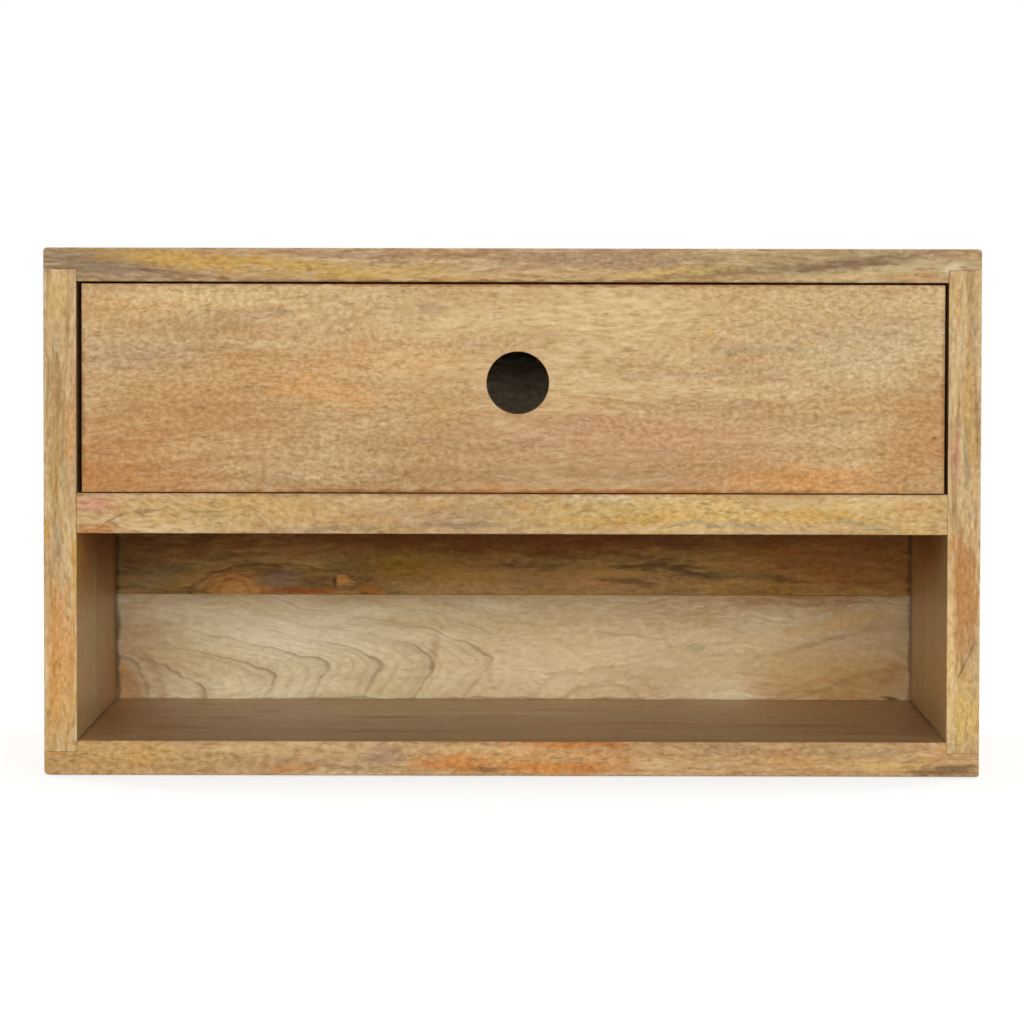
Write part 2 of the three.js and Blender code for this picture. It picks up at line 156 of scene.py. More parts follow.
class NightstandStudio(bpy.types.PropertyGroup):
    camera_place: FloatVectorProperty(
        name="Camera Place", description="Where the camera stands",
        default=(8.19 * MM, -2728.84 * MM, 121.26 * MM), subtype="TRANSLATION", unit="LENGTH")
    camera_pitch: FloatProperty(
        name="Pitch", description="How far the camera looks down",
        default=math.radians(2.792), subtype="ANGLE")
    camera_yaw: FloatProperty(
        name="Yaw", description="How far the camera turns to the left",
        default=math.radians(0.189), subtype="ANGLE")
    camera_roll: FloatProperty(
        name="Roll", description="How far the camera leans",
        default=math.radians(0.122), subtype="ANGLE")
    lens: FloatProperty(
        name="Lens", description="Focal length on a sensor 36 mm wide, in millimetres",
        default=181.7, min=10, max=500)
    key_power: FloatProperty(
        name="Front Power", description="Power of the wide softbox in front",
        default=76, min=0, max=1000, unit="POWER")
    top_power: FloatProperty(
        name="Overhead Power", description="Power of the overhead softbox",
        default=19, min=0, max=1000, unit="POWER")
    side_power: FloatProperty(
        name="Side Power", description="Power of each softbox beside the object",
        default=15, min=0, max=1000, unit="POWER")
    back_power: FloatProperty(
        name="Back Power", description="Power of each softbox behind the object",
        default=25, min=0, max=1000, unit="POWER")
    world: FloatProperty(
        name="Surround", description="Strength of the white surround on the object",
        default=0.12, min=0, max=1, subtype="FACTOR")
    floor_tone: FloatVectorProperty(
        name="Floor", description="Colour of the pale floor",
        default=srgb(170, 169, 166)[:3], min=0, max=1, subtype="COLOR")


# Shader sums

SEED_STEPS = (3.17, 7.31, 1.93)


class Value:
    """A socket in a shader tree. A sum of values adds the Math nodes that work it out."""

    def __init__(self, tree, socket):
        self.tree = tree
        self.socket = socket

    def __add__(self, other):
        return self.tree.math("ADD", self, other)

    def __sub__(self, other):
        return self.tree.math("SUBTRACT", self, other)

    def __rsub__(self, other):
        return self.tree.math("SUBTRACT", other, self)

    def __mul__(self, other):
        return self.tree.math("MULTIPLY", self, other)

    def __truediv__(self, other):
        return self.tree.math("DIVIDE", self, other)

    __radd__ = __add__
    __rmul__ = __mul__


class Tree:
    """The shader tree of one material or world, which starts empty."""

    def __init__(self, owner):
        owner.use_nodes = True
        self.owner = owner
        self.nodes = owner.node_tree.nodes
        self.links = owner.node_tree.links
        self.nodes.clear()

    def node(self, kind, settings, sockets):
        """Adds a node, sets it up, and then sets or links its sockets."""
        node = self.nodes.new("ShaderNode" + kind)
        for name, value in settings.items():
            setattr(node, name, value)
        for key, value in sockets.items():
            if isinstance(value, Value):
                self.links.new(value.socket, node.inputs[key])
            else:
                node.inputs[key].default_value = value
        return node

    def out(self, node, key=0):
        return Value(self, node.outputs[key])

    def math(self, operation, *terms):
        return self.out(self.node("Math", {"operation": operation}, dict(enumerate(terms))))

    def vector_math(self, operation, *terms):
        return self.out(self.node("VectorMath", {"operation": operation}, dict(enumerate(terms))))

    def length(self, vector):
        return self.out(self.node("VectorMath", {"operation": "LENGTH"}, {0: vector}), "Value")

    def scale(self, vector, factor):
        """The vector or colour times a factor."""
        node = self.node("VectorMath", {"operation": "SCALE"}, {"Vector": vector, "Scale": factor})
        return self.out(node)

    def coordinates(self):
        """The place of each point in its object's own coordinates."""
        return self.out(self.node("TexCoord", {}, {}), "Object")

    def parts(self, vector):
        node = self.node("SeparateXYZ", {}, {0: vector})
        return [self.out(node, key) for key in range(3)]

    def vector(self, x, y, z):
        return self.out(self.node("CombineXYZ", {}, {0: x, 1: y, 2: z}))

    def mix(self, factor, below, above):
        """Lays the colour above over the one below."""
        sockets = {0: factor, 6: below, 7: above}
        return self.out(self.node("Mix", {"data_type": "RGBA"}, sockets), 2)

    def step(self, value, start, end):
        """A smooth rise from 0 to 1 while the value goes from start to end."""
        sockets = {"Value": value, "From Min": start, "From Max": end}
        return self.out(self.node("MapRange", {"interpolation_type": "SMOOTHSTEP"}, sockets))

    def ridge(self, value, start, crest):
        """Rises from 0 at the start to 1 at the crest, and falls to 0 again at 1."""
        return self.step(value, start, crest) * self.step(value, 1, crest)

    def noise(self, place, size, seed, detail=2.0, rough=0.5):
        """A noise whose features have the given sizes. Gives its value and its three colours."""
        scale = tuple(1 / length for length in size)
        shift = tuple(seed * step for step in SEED_STEPS)
        where = self.vector_math("MULTIPLY_ADD", place, scale, shift)
        sockets = {"Vector": where, "Scale": 1.0, "Detail": detail, "Roughness": rough}
        node = self.node("TexNoise", {}, sockets)
        return self.out(node, 0), self.out(node, 1)

    def finish(self, shader):
        """Shows a shader's node on the surface, and gives the material."""
        self.node("OutputMaterial", {}, {"Surface": self.out(shader)})
        return self.owner


# Wood


IVORY = srgb(238, 228, 198)
CREAM = srgb(224, 208, 168)
BUFF = srgb(240, 198, 132)
OAT = srgb(206, 184, 140)
BUTTER = srgb(222, 190, 136)
WHEAT = srgb(216, 180, 108)
STRAW = srgb(212, 180, 132)
HONEY = srgb(196, 158, 112)
GOLD = srgb(206, 162, 82)
APRICOT = srgb(218, 156, 88)
AMBER = srgb(204, 130, 62)
GINGER = srgb(184, 120, 58)
RUST = srgb(178, 92, 48)
RUSSET = srgb(140, 80, 22)
BLUSH = srgb(204, 150, 116)
CARAMEL = srgb(184, 134, 80)
HAZEL = srgb(172, 130, 88)
MAUVE = srgb(166, 134, 106)
ASH = srgb(150, 126, 98)
MIST = srgb(160, 148, 114)
OLIVE = srgb(166, 126, 44)
UMBER = srgb(112, 84, 58)
BARK = srgb(62, 42, 24)


@dataclass
class Look:
    """How one board's wood looks. Sizes run along and across the grain in millimetres, amounts are shares."""
    along: str
    pale: tuple = STRAW
    tan: tuple = HONEY
    gold: tuple = GOLD
    gold_amount: float = 0.35
    blush: tuple = BLUSH
    blush_amount: float = 0.3
    ash: tuple = ASH
    ash_amount: float = 0.3
    zone_size: tuple = (85, 16)
    wander: float = 8
    wander_size: tuple = (120, 40)
    vein_dark: tuple = HAZEL
    vein_light: tuple = STRAW
    vein_amount: float = 0.45
    vein_size: tuple = (42, 4.5)
    curl: float = 1.1
    curl_size: tuple = (8, 6)
    fibre_amount: float = 0.5
    fibre_size: tuple = (9, 2.4)
    worm_amount: float = 0.62
    worm_size: tuple = (3.4, 2.0)
    figure_low: float = 0.38
    figure_high: float = 0.54
    plain_at: float = 0.0
    plain_fade: float = 0.0
    pore: tuple = UMBER
    pore_amount: float = 0.32
    pore_size: tuple = (6, 1.5)
    ring: tuple = UMBER
    ring_amount: float = 0.12
    ring_spacing: float = 9
    ring_line_share: float = 0.25
    ring_end: float = 1000
    ring_lines: float = 3
    bend_reach: float = 200
    pith_up: float = -60
    pith_in: float = 60
    lean: float = 0.03
    cone: float = 0.0
    skew: float = 0.0
    shine: float = 0.25
    seed: float = 0.0


@dataclass
class Mark:
    """A stain, knot or patch of the wood's own colour, or painted shade or a painted reflection. Its middle
    is in shares of the board's box, and its reach in millimetres.
    """
    x_share: float
    z_share: float
    reach_x: float
    reach_z: float
    tone: tuple
    strength: float
    turn: float = 0.0
    y_share: float = 0.0
    reach_y: float = 60.0
    soft_share: float = 0.8
    rim_share: float = 0.0
    fray: float = 1.0


def wash(*values, fray=0.5, **more):
    """A mark that is soft from its middle to its rim."""
    return Mark(*values, soft_share=1, fray=fray, **more)


def deep(x_share, y_share, z_share, reach_x, reach_y, reach_z, *values, soft_share=1, fray=0.3):
    """A mark placed in all three directions, on a face other than the front."""
    return Mark(
        x_share, z_share, reach_x, reach_z, *values, y_share=y_share, reach_y=reach_y,
        soft_share=soft_share, fray=fray)


# The axes along the grain, across it and into the board
GRAIN_AXES = {"X": (0, 2, 1), "Y": (1, 2, 0), "Z": (2, 0, 1)}
NOISE_MIDDLE = 0.5

# The noise values at which a colour starts and is full
ZONE_EDGE = (0.36, 0.64)
TINT_EDGE = (0.5, 0.7)
DARK_VEIN_EDGE = (0.5, 0.3)
LIGHT_VEIN_EDGE = (0.5, 0.7)
PORE_EDGE = (0.54, 0.74)
RING_EDGE = (0.7, 1.05)

# Growth rings, in shares of their spacing, but in millimetres where they end. Their count starts
# above zero, so that it stays positive in front of the pith
RING_CREST = 0.97
RING_SHADOW = 0.35
FAINT_RING = (0.4, 0.85)
FAINT_STRENGTH = 0.3
STRAIGHT_RING_SHARE = 0.35
RING_FADE = 60
FIRST_RING = 100

# How far veins and fibres pull at the rim of a mark, in shares of its reach, and curls in millimetres
VEIN_PULL = 1.2
FIBRE_PULL = 1.6
CURL_PULL = 4

# A fleck changes red, green and blue by about the same step, so it changes blue by the largest share
FLECK_SHARES = (0.78, 1.08, 1.7)
CURLY_SHARE = 0.3
FIBRE_ROUGHNESS = 0.12
COAT_ROUGHNESS = 0.3
WOOD_BUMP = 0.7
FIBRE_RELIEF = 0.4
WORM_RELIEF = 0.3


def mark_cover(tree, place, low, high, mark, unrest):
    """How much of a mark covers each point: 1 in its middle and 0 outside it."""
    shares = Vector((mark.x_share, mark.y_share, mark.z_share))
    sockets = {
        "Vector": place,
        "Location": (low + shares * (high - low)) / MM,
        "Rotation": (0, -math.radians(mark.turn), 0),
        "Scale": (mark.reach_x, mark.reach_y, mark.reach_z),
    }
    inside = tree.out(tree.node("Mapping", {"vector_type": "TEXTURE"}, sockets))
    distance = tree.length(inside) + unrest * mark.fray
    if mark.rim_share:
        return tree.ridge(distance, 1 - mark.rim_share, 1 - mark.rim_share / 2) * mark.strength
    return tree.step(distance, 1, 1 - mark.soft_share) * mark.strength


def wood(name, box, look, marks=()):
    """A lacquered wood: zones and veins of colour, stains and painted shade, growth rings, fibres and pores.
    """
    settings = bpy.context.scene.nightstand_wood
    low, high = box
    tree = Tree(bpy.data.materials.new(name))
    place = tree.scale(tree.coordinates(), 1 / MM)
    middle = (low + high) / 2 / MM
    parts = tree.parts(place)
    length, up, depth = [parts[axis] - middle[axis] for axis in GRAIN_AXES[look.along]]
    straight = tree.vector(length, up, depth)

    def grain_noise(where, size, number, **more):
        """A noise whose features have a length along the grain and a width across it."""
        long, wide = size
        return tree.noise(where, (long, wide, wide), look.seed + number, **more)

    def swayed(where, amount, size, number):
        """Moves points sideways to the grain, up to the amount. Gives the noise that moved them, too."""
        sway = grain_noise(straight, size, number, detail=1)[1]
        shift = tree.vector_math("SUBTRACT", sway, (NOISE_MIDDLE,) * 3)
        return tree.vector_math("MULTIPLY_ADD", shift, (0, 2 * amount, 2 * amount), where), shift

    wandering, _ = swayed(straight, look.wander, look.wander_size, 1)
    curling, swirl = swayed(wandering, look.curl, look.curl_size, 2)

    # Broad zones of colour, and narrow veins in them
    zone, tints = grain_noise(wandering, look.zone_size, 3, detail=3, rough=0.55)
    vein = grain_noise(wandering, look.vein_size, 4, detail=3, rough=0.6)[0]
    first, second, third = tree.parts(tints)
    colour = look.pale
    for noise, edge, amount, tone in (
            (zone, ZONE_EDGE, 1, look.tan),
            (first, TINT_EDGE, look.gold_amount, look.gold),
            (second, TINT_EDGE, look.blush_amount, look.blush),
            (third, TINT_EDGE, look.ash_amount, look.ash),
            (vein, DARK_VEIN_EDGE, look.vein_amount, look.vein_dark),
            (vein, LIGHT_VEIN_EDGE, look.vein_amount, look.vein_light)):
        colour = tree.mix(tree.step(noise, *edge) * amount, colour, tone)

    # Straight fibres in some zones, and short curly ones in the figured zones
    fibre = grain_noise(wandering, look.fibre_size, 5, detail=3, rough=0.6)[0]
    worm = grain_noise(curling, look.worm_size, 6, rough=0.6)[0]
    from_plain = tree.math("ABSOLUTE", length - look.plain_at) * look.plain_fade
    figured = tree.step(first * 0.5 + third * 0.5 + from_plain, look.figure_low, look.figure_high)

    unrest = (vein - NOISE_MIDDLE) * VEIN_PULL + (fibre - NOISE_MIDDLE) * FIBRE_PULL
    ragged = tree.vector_math("MULTIPLY_ADD", swirl, (CURL_PULL,) * 3, place)
    for mark in marks:
        cover = mark_cover(tree, ragged if mark.fray else place, low, high, mark, unrest)
        colour = tree.mix(cover, colour, mark.tone)

    # Growth rings round a pith that leans against the board: lines, their shadows, and faint lines between
    along, across, inwards = tree.parts(curling)
    pith_up = across - look.pith_up - along * look.lean
    from_pith = tree.length(tree.vector(pith_up, inwards - look.pith_in, 0))
    radius = from_pith + along * look.cone + pith_up * look.skew
    phase = tree.math("FRACT", radius / look.ring_spacing + FIRST_RING)
    between = tree.math("FRACT", radius * look.ring_lines / look.ring_spacing + FIRST_RING)
    line = tree.ridge(phase, 1 - look.ring_line_share, RING_CREST)
    shadow = tree.step(phase, RING_SHADOW, 1) * tree.step(phase, 1, RING_CREST)
    faint = tree.ridge(between, *FAINT_RING)
    bend = tree.step(tree.math("ABSOLUTE", pith_up), look.bend_reach, 0)
    reach = tree.step(along, look.ring_end, look.ring_end - RING_FADE) * tree.step(vein + zone, *RING_EDGE)
    reach = reach * (bend * (1 - STRAIGHT_RING_SHARE) + STRAIGHT_RING_SHARE)
    lines = tree.math("MINIMUM", line + shadow * FAINT_STRENGTH + faint * FAINT_STRENGTH, 1)
    colour = tree.mix(lines * reach * look.ring_amount, colour, look.ring)

    plain = (fibre - NOISE_MIDDLE) * (2 * look.fibre_amount)
    curly = (worm - NOISE_MIDDLE) * (2 * look.worm_amount)
    fleck = plain * (1 - figured) + curly * (figured * (1 - CURLY_SHARE) + CURLY_SHARE)
    flecks = tree.vector_math("MULTIPLY_ADD", tree.vector(fleck, fleck, fleck), FLECK_SHARES, (1, 1, 1))
    colour = tree.vector_math("MULTIPLY", colour, flecks)

    # Short dark pores
    pore = tree.step(grain_noise(curling, look.pore_size, 7, detail=1)[0], *PORE_EDGE)
    colour = tree.mix(pore * look.pore_amount, colour, look.pore)

    height = fibre * FIBRE_RELIEF + worm * WORM_RELIEF - pore
    bump = tree.node("Bump", {}, {"Strength": WOOD_BUMP, "Distance": settings.relief, "Height": height})
    return tree.finish(tree.node("BsdfPrincipled", {}, {
        "Base Color": colour,
        "Roughness": (fibre - NOISE_MIDDLE) * FIBRE_ROUGHNESS + settings.sheen,
        "Specular IOR Level": look.shine,
        "Coat Weight": settings.lacquer,
        "Coat Roughness": COAT_ROUGHNESS,
        "Normal": tree.out(bump),
    }))


ZINC_GRAIN = 0.9 * MM
ZINC_CLOUD = 6 * MM
ZINC_BUMP = 0.4
ZINC_RELIEF = 0.02 * MM
ZINC_ROUGHNESS = 0.25
DULL_EDGE = (0.35, 0.7)
DULL_ZINC = srgb(172, 168, 156)


def zinc_steel(name):
    """Zinc plating with fine grains and duller clouds."""
    tree = Tree(bpy.data.materials.new(name))
    place = tree.coordinates()
    grains = tree.noise(place, (ZINC_GRAIN,) * 3, 3, detail=3)[0]
    clouds = tree.noise(place, (ZINC_CLOUD,) * 3, 8)[0]
    bright = (*bpy.context.scene.nightstand_steel.zinc, 1)
    bump = tree.node("Bump", {}, {"Strength": ZINC_BUMP, "Distance": ZINC_RELIEF, "Height": grains})
    return tree.finish(tree.node("BsdfPrincipled", {}, {
        "Base Color": tree.mix(tree.step(clouds, *DULL_EDGE), bright, DULL_ZINC),
        "Metallic": 1.0,
        "Roughness": grains * ZINC_ROUGHNESS + ZINC_ROUGHNESS,
        "Normal": tree.out(bump),
    }))


# Meshes


def linked(name, mesh):
    piece = bpy.data.objects.new(name, mesh)
    bpy.context.scene.collection.objects.link(piece)
    return piece


def made(name, shape):
    """A piece from a bmesh, which is freed."""
    mesh = bpy.data.meshes.new(name)
    shape.to_mesh(mesh)
    shape.free()
    return linked(name, mesh)


def block(low, high):
    """A box between two corners, as a bmesh."""
    low, high = Vector(low), Vector(high)
    shape = bmesh.new()
    bmesh.ops.create_cube(shape, size=1)
    bmesh.ops.scale(shape, vec=high - low, verts=shape.verts)
    bmesh.ops.translate(shape, vec=(low + high) / 2, verts=shape.verts)
    return shape


def turned(profile, segments, start, direction):
    """A closed turned shape, as a bmesh. Each profile entry is a radius and a distance from the start."""
    shape = bmesh.new()
    points = [shape.verts.new((radius, 0, along)) for radius, along in profile]
    lines = [shape.edges.new(pair) for pair in zip(points, points[1:])]
    bmesh.ops.spin(
        shape, geom=points + lines, cent=(0, 0, 0), axis=(0, 0, 1), angle=2 * math.pi,
        steps=segments, use_merge=True, use_duplicate=False)
    bmesh.ops.remove_doubles(shape, verts=shape.verts, dist=MERGE_DISTANCE)
    bmesh.ops.recalc_face_normals(shape, faces=shape.faces)
    turn = Vector((0, 0, 1)).rotation_difference(Vector(direction)).to_matrix()
    bmesh.ops.rotate(shape, cent=(0, 0, 0), matrix=turn, verts=shape.verts)
    bmesh.ops.translate(shape, vec=start, verts=shape.verts)
    return shape


def rod(radius, length):
    """The profile of a plain rod."""
    return [(0, 0), (radius, 0), (radius, length), (0, length)]


def settle(piece):
    """Makes what the modifiers give the piece's own mesh."""
    depsgraph = bpy.context.evaluated_depsgraph_get()
    mesh = bpy.data.meshes.new_from_object(piece.evaluated_get(depsgraph), depsgraph=depsgraph)
    before = piece.data
    piece.modifiers.clear()
    piece.data = mesh
    bpy.data.meshes.remove(before)
    mesh.name = piece.name


def carve(piece, shapes):
    """Cuts shapes, given as bmeshes, out of a piece."""
    cutters = [made("cutter", shape) for shape in shapes]
    for cutter in cutters:
        cut = piece.modifiers.new("cut", "BOOLEAN")
        cut.operation = "DIFFERENCE"
        cut.solver = "EXACT"
        cut.object = cutter
    settle(piece)
    for cutter in cutters:
        bpy.data.objects.remove(cutter)


def lies(edge, axis, *values):
    """Whether an edge lies in a plane where the axis has one of the values."""
    places = [vert.co["XYZ".index(axis)] for vert in edge.verts]
    return any(all(abs(place - value) < PLANE_TOLERANCE for place in places) for value in values)


def ease(piece, width_of):
    """Rounds the sharp outer edges. width_of gives the width for an edge, which may be zero."""
    edges = bpy.context.scene.nightstand_edges
    shape = bmesh.new()
    shape.from_mesh(piece.data)
    weights = shape.edges.layers.float.new("bevel_weight_edge")
    widths = {
        edge: width_of(edge)
        for edge in shape.edges
        if edge.is_manifold and edge.is_convex and edge.calc_face_angle() > SHARP_ANGLE
    }
    widest = max(widths.values())
    for edge, width in widths.items():
        edge[weights] = width / widest
    for face in shape.faces:
        face.smooth = True
    shape.to_mesh(piece.data)
    shape.free()
    rounding = piece.modifiers.new("eased edges", "BEVEL")
    rounding.limit_method = "WEIGHT"
    rounding.width = widest
    rounding.segments = edges.segments
    rounding.profile = 0.5
    piece.modifiers.new("flat faces", "WEIGHTED_NORMAL")
    settle(piece)


def dress(piece, body, slot, material, *nodes):
    """Gives a piece its finish, its body and the nodes that it stands for."""
    piece.data.materials.clear()
    piece.data.materials.append(material)
    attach(piece, body)
    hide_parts(*nodes)


# Dowels, screws and pins, and the bores that they sit in

DOWEL_FIT = 0.25 * MM
SCREW_FIT = 0.3 * MM
PIN_HEAD_RADIUS = 1.6 * MM
PIN_HEAD_THICKNESS = 1 * MM
PIN_SHANK_RADIUS = 0.8 * MM
PIN_FIT = 0.2 * MM
ROUND_STEPS = 32
TOWARDS_FRONT = Vector((0, -1, 0))


def nodes_named(*starts):
    return sorted(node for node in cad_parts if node.startswith(starts))


DOWELS = nodes_named("shelf_dowel_")
BACK_SCREWS = nodes_named("back_screw_")
HANGER_SCREWS = nodes_named("hanger_screw_")
PINS = nodes_named("drawer_pin_left", "drawer_pin_right") + nodes_named("drawer_bottom_pin_")


@dataclass
class Screw:
    """The sizes of a countersunk screw."""
    head_radius: float
    head_depth: float
    shank_radius: float
    length: float
    point: float


hanger_screw_low, hanger_screw_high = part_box(HANGER_SCREWS[0])
HANGER_SCREW = Screw(
    head_radius=2.8 * MM, head_depth=1.8 * MM, shank_radius=1.3 * MM,
    length=hanger_screw_high.y - hanger_screw_low.y, point=2 * MM)
BACK_SCREW = Screw(
    head_radius=3 * MM, head_depth=2.2 * MM, shank_radius=1.6 * MM, length=25 * MM, point=4 * MM)


def dowel_bore(node):
    low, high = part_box(node)
    middle = (low + high) / 2
    profile = rod((high.z - low.z) / 2 + DOWEL_FIT, high.x - low.x + 2 * DOWEL_FIT)
    return turned(profile, ROUND_STEPS, (low.x - DOWEL_FIT, middle.y, middle.z), (1, 0, 0))


def screw_start(node):
    """The middle of a screw's flat face."""
    low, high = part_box(node)
    middle = (low + high) / 2
    return Vector((middle.x, high.y, middle.z))


def screw_bore(node, screw=BACK_SCREW):
    head, shank = screw.head_radius + SCREW_FIT, screw.shank_radius + SCREW_FIT
    profile = [
        (0, -OVERRUN),
        (head, -OVERRUN),
        (head, 0),
        (shank, screw.head_depth + SCREW_FIT),
        (shank, screw.length - screw.point + SCREW_FIT),
        (0, screw.length + SCREW_FIT),
    ]
    return turned(profile, ROUND_STEPS, screw_start(node), TOWARDS_FRONT)


def pin_axis(node):
    """The middle of a pin's flat face, the way that it points, and its length."""
    low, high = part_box(node)
    middle = (low + high) / 2
    if "bottom" in node:
        return (middle.x, middle.y, low.z), (0, 0, 1), high.z - low.z
    if "left" in node:
        return (low.x, middle.y, middle.z), (1, 0, 0), high.x - low.x
    return (high.x, middle.y, middle.z), (-1, 0, 0), high.x - low.x


def pin_bore(node):
    start, direction, length = pin_axis(node)
    head, shank = PIN_HEAD_RADIUS + PIN_FIT, PIN_SHANK_RADIUS + PIN_FIT
    shoulder, end = PIN_HEAD_THICKNESS + PIN_FIT, length + PIN_FIT
    profile = [(0, -OVERRUN), (head, -OVERRUN), (head, shoulder), (shank, shoulder), (shank, end), (0, end)]
    return turned(profile, ROUND_STEPS // 2, start, direction)


def bores_in(low, high):
    """Bores of the dowels, the back's screws and the pins that reach into a box."""
    shapes = []
    for bore, nodes in ((dowel_bore, DOWELS), (screw_bore, BACK_SCREWS), (pin_bore, PINS)):
        for node in nodes:
            node_low, node_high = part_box(node)
            if all(node_low[axis] < high[axis] and node_high[axis] > low[axis] for axis in range(3)):
                shapes.append(bore(node))
    return shapes


# Boards

SEAMS_X = (INNER_X - JOINT_GAP, JOINT_GAP - INNER_X, -REBATE_X, REBATE_X)
SEAMS_Z = (
    SIDE_HEAD_Z, SIDE_HEAD_Z - JOINT_GAP, SIDE_FOOT_Z, SIDE_FOOT_Z + JOINT_GAP, REBATE_HEAD_Z, REBATE_FOOT_Z)


def carcass_width(edge):
    """Rounding of an edge of the cabinet's outside: seams are finer than free edges."""
    edges = bpy.context.scene.nightstand_edges
    if lies(edge, "X", *SEAMS_X) or lies(edge, "Y", REBATE_Y) or lies(edge, "Z", *SEAMS_Z):
        return edges.seam
    if lies(edge, "Z", cabinet_high.z) and lies(edge, "X", -OUTER_X, OUTER_X):
        return edges.corner_top
    if lies(edge, "Z", cabinet_low.z) and lies(edge, "X", -OUTER_X):
        return edges.corner_low_left
    if lies(edge, "Z", cabinet_low.z) and lies(edge, "X", OUTER_X):
        return edges.corner_low_right
    return edges.eased


def seam_width(edge):
    return bpy.context.scene.nightstand_edges.seam


def build_board(node, body, slot, look, marks=(), shapes=(), width_of=carcass_width):
    """Builds a board as large as its node, with shapes cut out, its edges eased and a wood of its own."""
    piece = made(node.replace("_panel", "") + "_board", block(*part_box(node)))
    if shapes:
        carve(piece, shapes)
    ease(piece, width_of)
    dress(piece, body, slot, wood(node + "_wood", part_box(node), look, marks), node)


def rabbets(low_z, high_z):
    """Room for the ends of both side boards, between two heights."""
    inner, outer = INNER_X - JOINT_GAP, OUTER_X + OVERRUN
    return [
        block((low_x, FRONT_Y - OVERRUN, low_z), (high_x, OVERRUN, high_z))
        for low_x, high_x in ((-outer, -inner), (inner, outer))
    ]


def back_room(low_z, high_z):
    """Room for the back boards, between two heights."""
    return block((-REBATE_X, REBATE_Y, low_z), (REBATE_X, OVERRUN, high_z))


CARCASS = Look(along="X", vein_amount=0.5, fibre_amount=0.6, worm_amount=0.6, pore_amount=0.4, wander=9)
TOP = replace(
    CARCASS, pale=srgb(200, 168, 122), tan=srgb(180, 148, 106), ash_amount=0.45, blush_amount=0.2,
    zone_size=(85, 11), vein_amount=0.7, vein_size=(42, 3.4), fibre_size=(10, 1.9), fibre_amount=0.7,
    worm_amount=0.7, figure_low=0.48, figure_high=0.62, seed=1)
BOTTOM = replace(
    CARCASS, pale=srgb(202, 166, 118), tan=srgb(184, 146, 100), blush_amount=0.2, fibre_size=(8, 2.4),
    worm_amount=0.66, figure_low=0.4, figure_high=0.54, seed=2)
SHELF = replace(CARCASS, gold=WHEAT, gold_amount=0.5, blush_amount=0.1, seed=5)

TOP_MARKS = (
    wash(0.12, 0.5, 90, 14, ASH, 0.35),
    Mark(0.06, 0.6, 50, 12, ASH, 0.9),
    wash(0.05, 0.5, 44, 14, UMBER, 0.25),
    Mark(0.15, 0.62, 62, 6, GOLD, 0.8, turn=-5),
    Mark(0.27, 0.45, 70, 6, GOLD, 0.75, turn=-4),
    Mark(0.39, 0.25, 50, 4, WHEAT, 0.6, turn=-3),
    Mark(0.085, 0.35, 40, 3.5, ASH, 0.75, turn=-10),
    Mark(0.15, 0.2, 36, 2.2, UMBER, 0.6, turn=-8),
    Mark(0.3, 0.86, 50, 3, MAUVE, 0.7, turn=-4),
    Mark(0.44, 0.8, 56, 4, HAZEL, 0.6, turn=-2),
    Mark(0.6, 0.8, 60, 4, MAUVE, 0.6),
    Mark(0.53, 0.3, 80, 4, HONEY, 0.5),
    Mark(0.67, 0.3, 44, 3.4, WHEAT, 0.7, turn=3),
    Mark(0.86, 0.6, 100, 14, MIST, 0.55, fray=0.6),
    Mark(0.52, 0.75, 110, 8, MAUVE, 0.4, fray=0.6),
    Mark(0.78, 0.7, 60, 5, OLIVE, 0.25, turn=4),
    Mark(0.88, 0.25, 60, 5, BUTTER, 0.4, turn=5),
    wash(0.89, 0.66, 40, 3.4, UMBER, 0.6, turn=6, fray=1),
    wash(0.8, 0.42, 48, 3.2, UMBER, 0.55, turn=3, fray=1),
    wash(0.695, 0.2, 50, 2.4, UMBER, 0.5, turn=4, fray=1),
    Mark(0.96, 0.85, 22, 3, MAUVE, 0.7),
    Mark(0.967, 0.42, 9, 4, CREAM, 0.7, turn=20),
    Mark(0.935, 0.2, 16, 3, APRICOT, 0.4),
    deep(0.3, 0.35, 1, 150, 40, 8, WHEAT, 0.5, fray=0.4),
    deep(0.7, 0.66, 1, 170, 34, 8, BLUSH, 0.35, fray=0.4),
    deep(0.62, 0.3, 1, 140, 22, 8, GOLD, 0.4, fray=0.5),
    deep(0.25, 0.8, 1, 120, 26, 8, ASH, 0.4, fray=0.5),
    # Painted shade: a dark line along the lower front edge, beside the gap above the drawer
    Mark(0.5, 0, 300, 1.4, RUSSET, 0.7, reach_y=12, fray=0.2),
)
